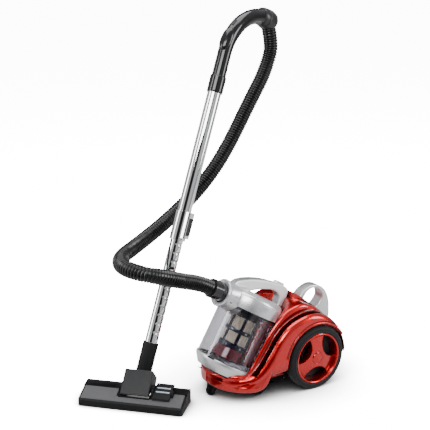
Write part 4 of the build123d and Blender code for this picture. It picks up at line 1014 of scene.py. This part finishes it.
PEDAL_LINE = [(-25, 26), (-24, 30.4), (25, 46.8), (28, 46.4), (29, 43.5), (28, 41), (2, 34.5),
              (-8, 30)]
pedal = slab("pedal_skin", ACROSS, [Vector(p) for p in PEDAL_LINE], 50.5, 94.5, (1.5, 1.5), "black",
             angle=25)
slope = (HEAD_V * 60 + UP * 20).normalized()
TOP = Place(HEAD(72.5, -34, 27.4), HEAD_U, slope, HEAD_U.cross(slope))
ridges = [block("ridge", TOP, (-17, y, -1.0), (17, y + 3.6, 1.1), "stripe", 0.5) for y in (31, 45)]
stands(join("pedal_skin", [pedal] + ridges), "head_pedal", "black_plastic", "head_pedal")

# ------------------------------------------------------------------ stage and light
PICTURE_SIDE = (0.842, -0.539, 0)       # level, to the camera's right
PICTURE_NEAR = (-0.539, -0.842, 0)      # level, towards the camera
FLOOR_HALF = 14.0
FLOOR_SEEN, FLOOR_GLOW = 9.0, 9.0


def floor():
    """A pale floor, near white to the camera with a painted shadow close to the object, and grey
    with a painted dark patch to reflections.
    """
    mesh = bpy.data.meshes.new("floor")
    r = FLOOR_HALF
    mesh.from_pydata([(-r, -r, 0), (r, -r, 0), (r, r, 0), (-r, r, 0)], [], [(0, 1, 2, 3)])
    m, t, b = new_material("pale_floor")
    pale = mix(t, add(t, "TexNoise", "Fac", {"Scale": 3.0}), grey(0.55), grey(0.58))
    spot = add(t, "NewGeometry", "Position")
    side = add(t, "VectorMath", "Value", {0: spot, 1: PICTURE_SIDE}, operation="DOT_PRODUCT")
    off = add(t, "Math", "Value", {0: side}, operation="ABSOLUTE")
    near = add(t, "VectorMath", "Value", {0: spot, 1: PICTURE_NEAR}, operation="DOT_PRODUCT")
    # a near-black patch beside and in front of the object, seen only in reflections and bounced
    # light: painted dark reflections and painted shade
    patch = add(t, "Math", "Value", {
        0: add(t, "MapRange", "Result", {"Value": off, "From Min": 0.75, "From Max": 0.35}),
        1: add(t, "MapRange", "Result", {"Value": near, "From Min": 0.25, "From Max": 0.6}),
    }, operation="MULTIPLY")
    reflected = mix(t, patch, pale, grey(0.03))
    # seen straight, it darkens close to the object by ambient occlusion, in its colour and its
    # glow: a painted shadow
    free = add(t, "AmbientOcclusion", "AO", {"Distance": 0.28}, samples=12)
    lit = add(t, "Math", "Value", {0: free, 1: 3.0}, operation="POWER")
    shown = mix(t, lit, grey(0.1), grey(FLOOR_SEEN))
    straight = add(t, "LightPath", "Is Camera Ray")
    level = add(t, "Math", "Value", {0: lit, 1: FLOOR_GLOW}, operation="MULTIPLY")
    feed(t, b, {
        "Base Color": mix(t, straight, reflected, shown), "Emission Color": WHITE,
        "Emission Strength": add(t, "Math", "Value", {0: straight, 1: level}, operation="MULTIPLY"),
        "Roughness": 0.8, "Specular IOR Level": 0.1})
    mesh.materials.append(m)
    o = bpy.data.objects.new("floor", mesh)
    bpy.context.scene.collection.objects.link(o)
    return o


floor()


def area_light(name, location, target, size, power):
    data = bpy.data.lights.new(name, "AREA")
    data.shape = "RECTANGLE"
    data.size, data.size_y = size
    data.energy = power
    o = bpy.data.objects.new(name, data)
    o.location = location
    o.rotation_euler = (Vector(target) - Vector(location)).to_track_quat("-Z", "Y").to_euler()
    bpy.context.scene.collection.objects.link(o)


area_light("key", (-1.6, -1.3, 2.3), (0.05, -0.05, 0.3), (1.6, 1.1), 60)
area_light("top", (0.2, 0.4, 2.9), (0.1, 0, 0.2), (2.4, 2.0), 70)
area_light("fill", (1.9, -1.9, 1.2), (0.1, 0, 0.3), (0.8, 1.7), 40)
area_light("rim", (-2.2, 0.9, 1.2), (0, 0, 0.4), (0.5, 1.8), 26)

# the world: bright and dark bands across the picture for the chrome, paler overhead
BANDS = ((0.0, 0.9), (0.18, 1.2), (0.26, 1.1), (0.31, 0.04), (0.60, 0.03), (0.66, 0.9),
         (0.76, 1.2), (0.92, 1.0), (1.0, 0.5))
world = bpy.data.worlds.new("studio")
world.use_nodes = True
wt = world.node_tree
way = add(wt, "TexCoord", "Generated")
across = add(wt, "VectorMath", "Value", {0: way, 1: PICTURE_SIDE}, operation="DOT_PRODUCT")
sky = wt.nodes.new("ShaderNodeValToRGB")
while len(sky.color_ramp.elements) < len(BANDS):
    sky.color_ramp.elements.new(0.5)
for e, (pos, v) in zip(sky.color_ramp.elements, BANDS):
    e.position = pos
    e.color = (v, v, v * 1.01, 1)
feed(wt, sky, {"Fac": add(wt, "MapRange", "Result", {"Value": across, "From Min": -1.0})})
high = add(wt, "MapRange", "Result", {
    "Value": add(wt, "SeparateXYZ", "Z", {"Vector": way}), "From Min": 0.55, "From Max": 0.9})
feed(wt, wt.nodes["Background"], {
    "Color": mix(wt, high, sky.outputs["Color"], (0.9, 0.9, 0.92, 1)), "Strength": 0.5})
bpy.context.scene.world = world
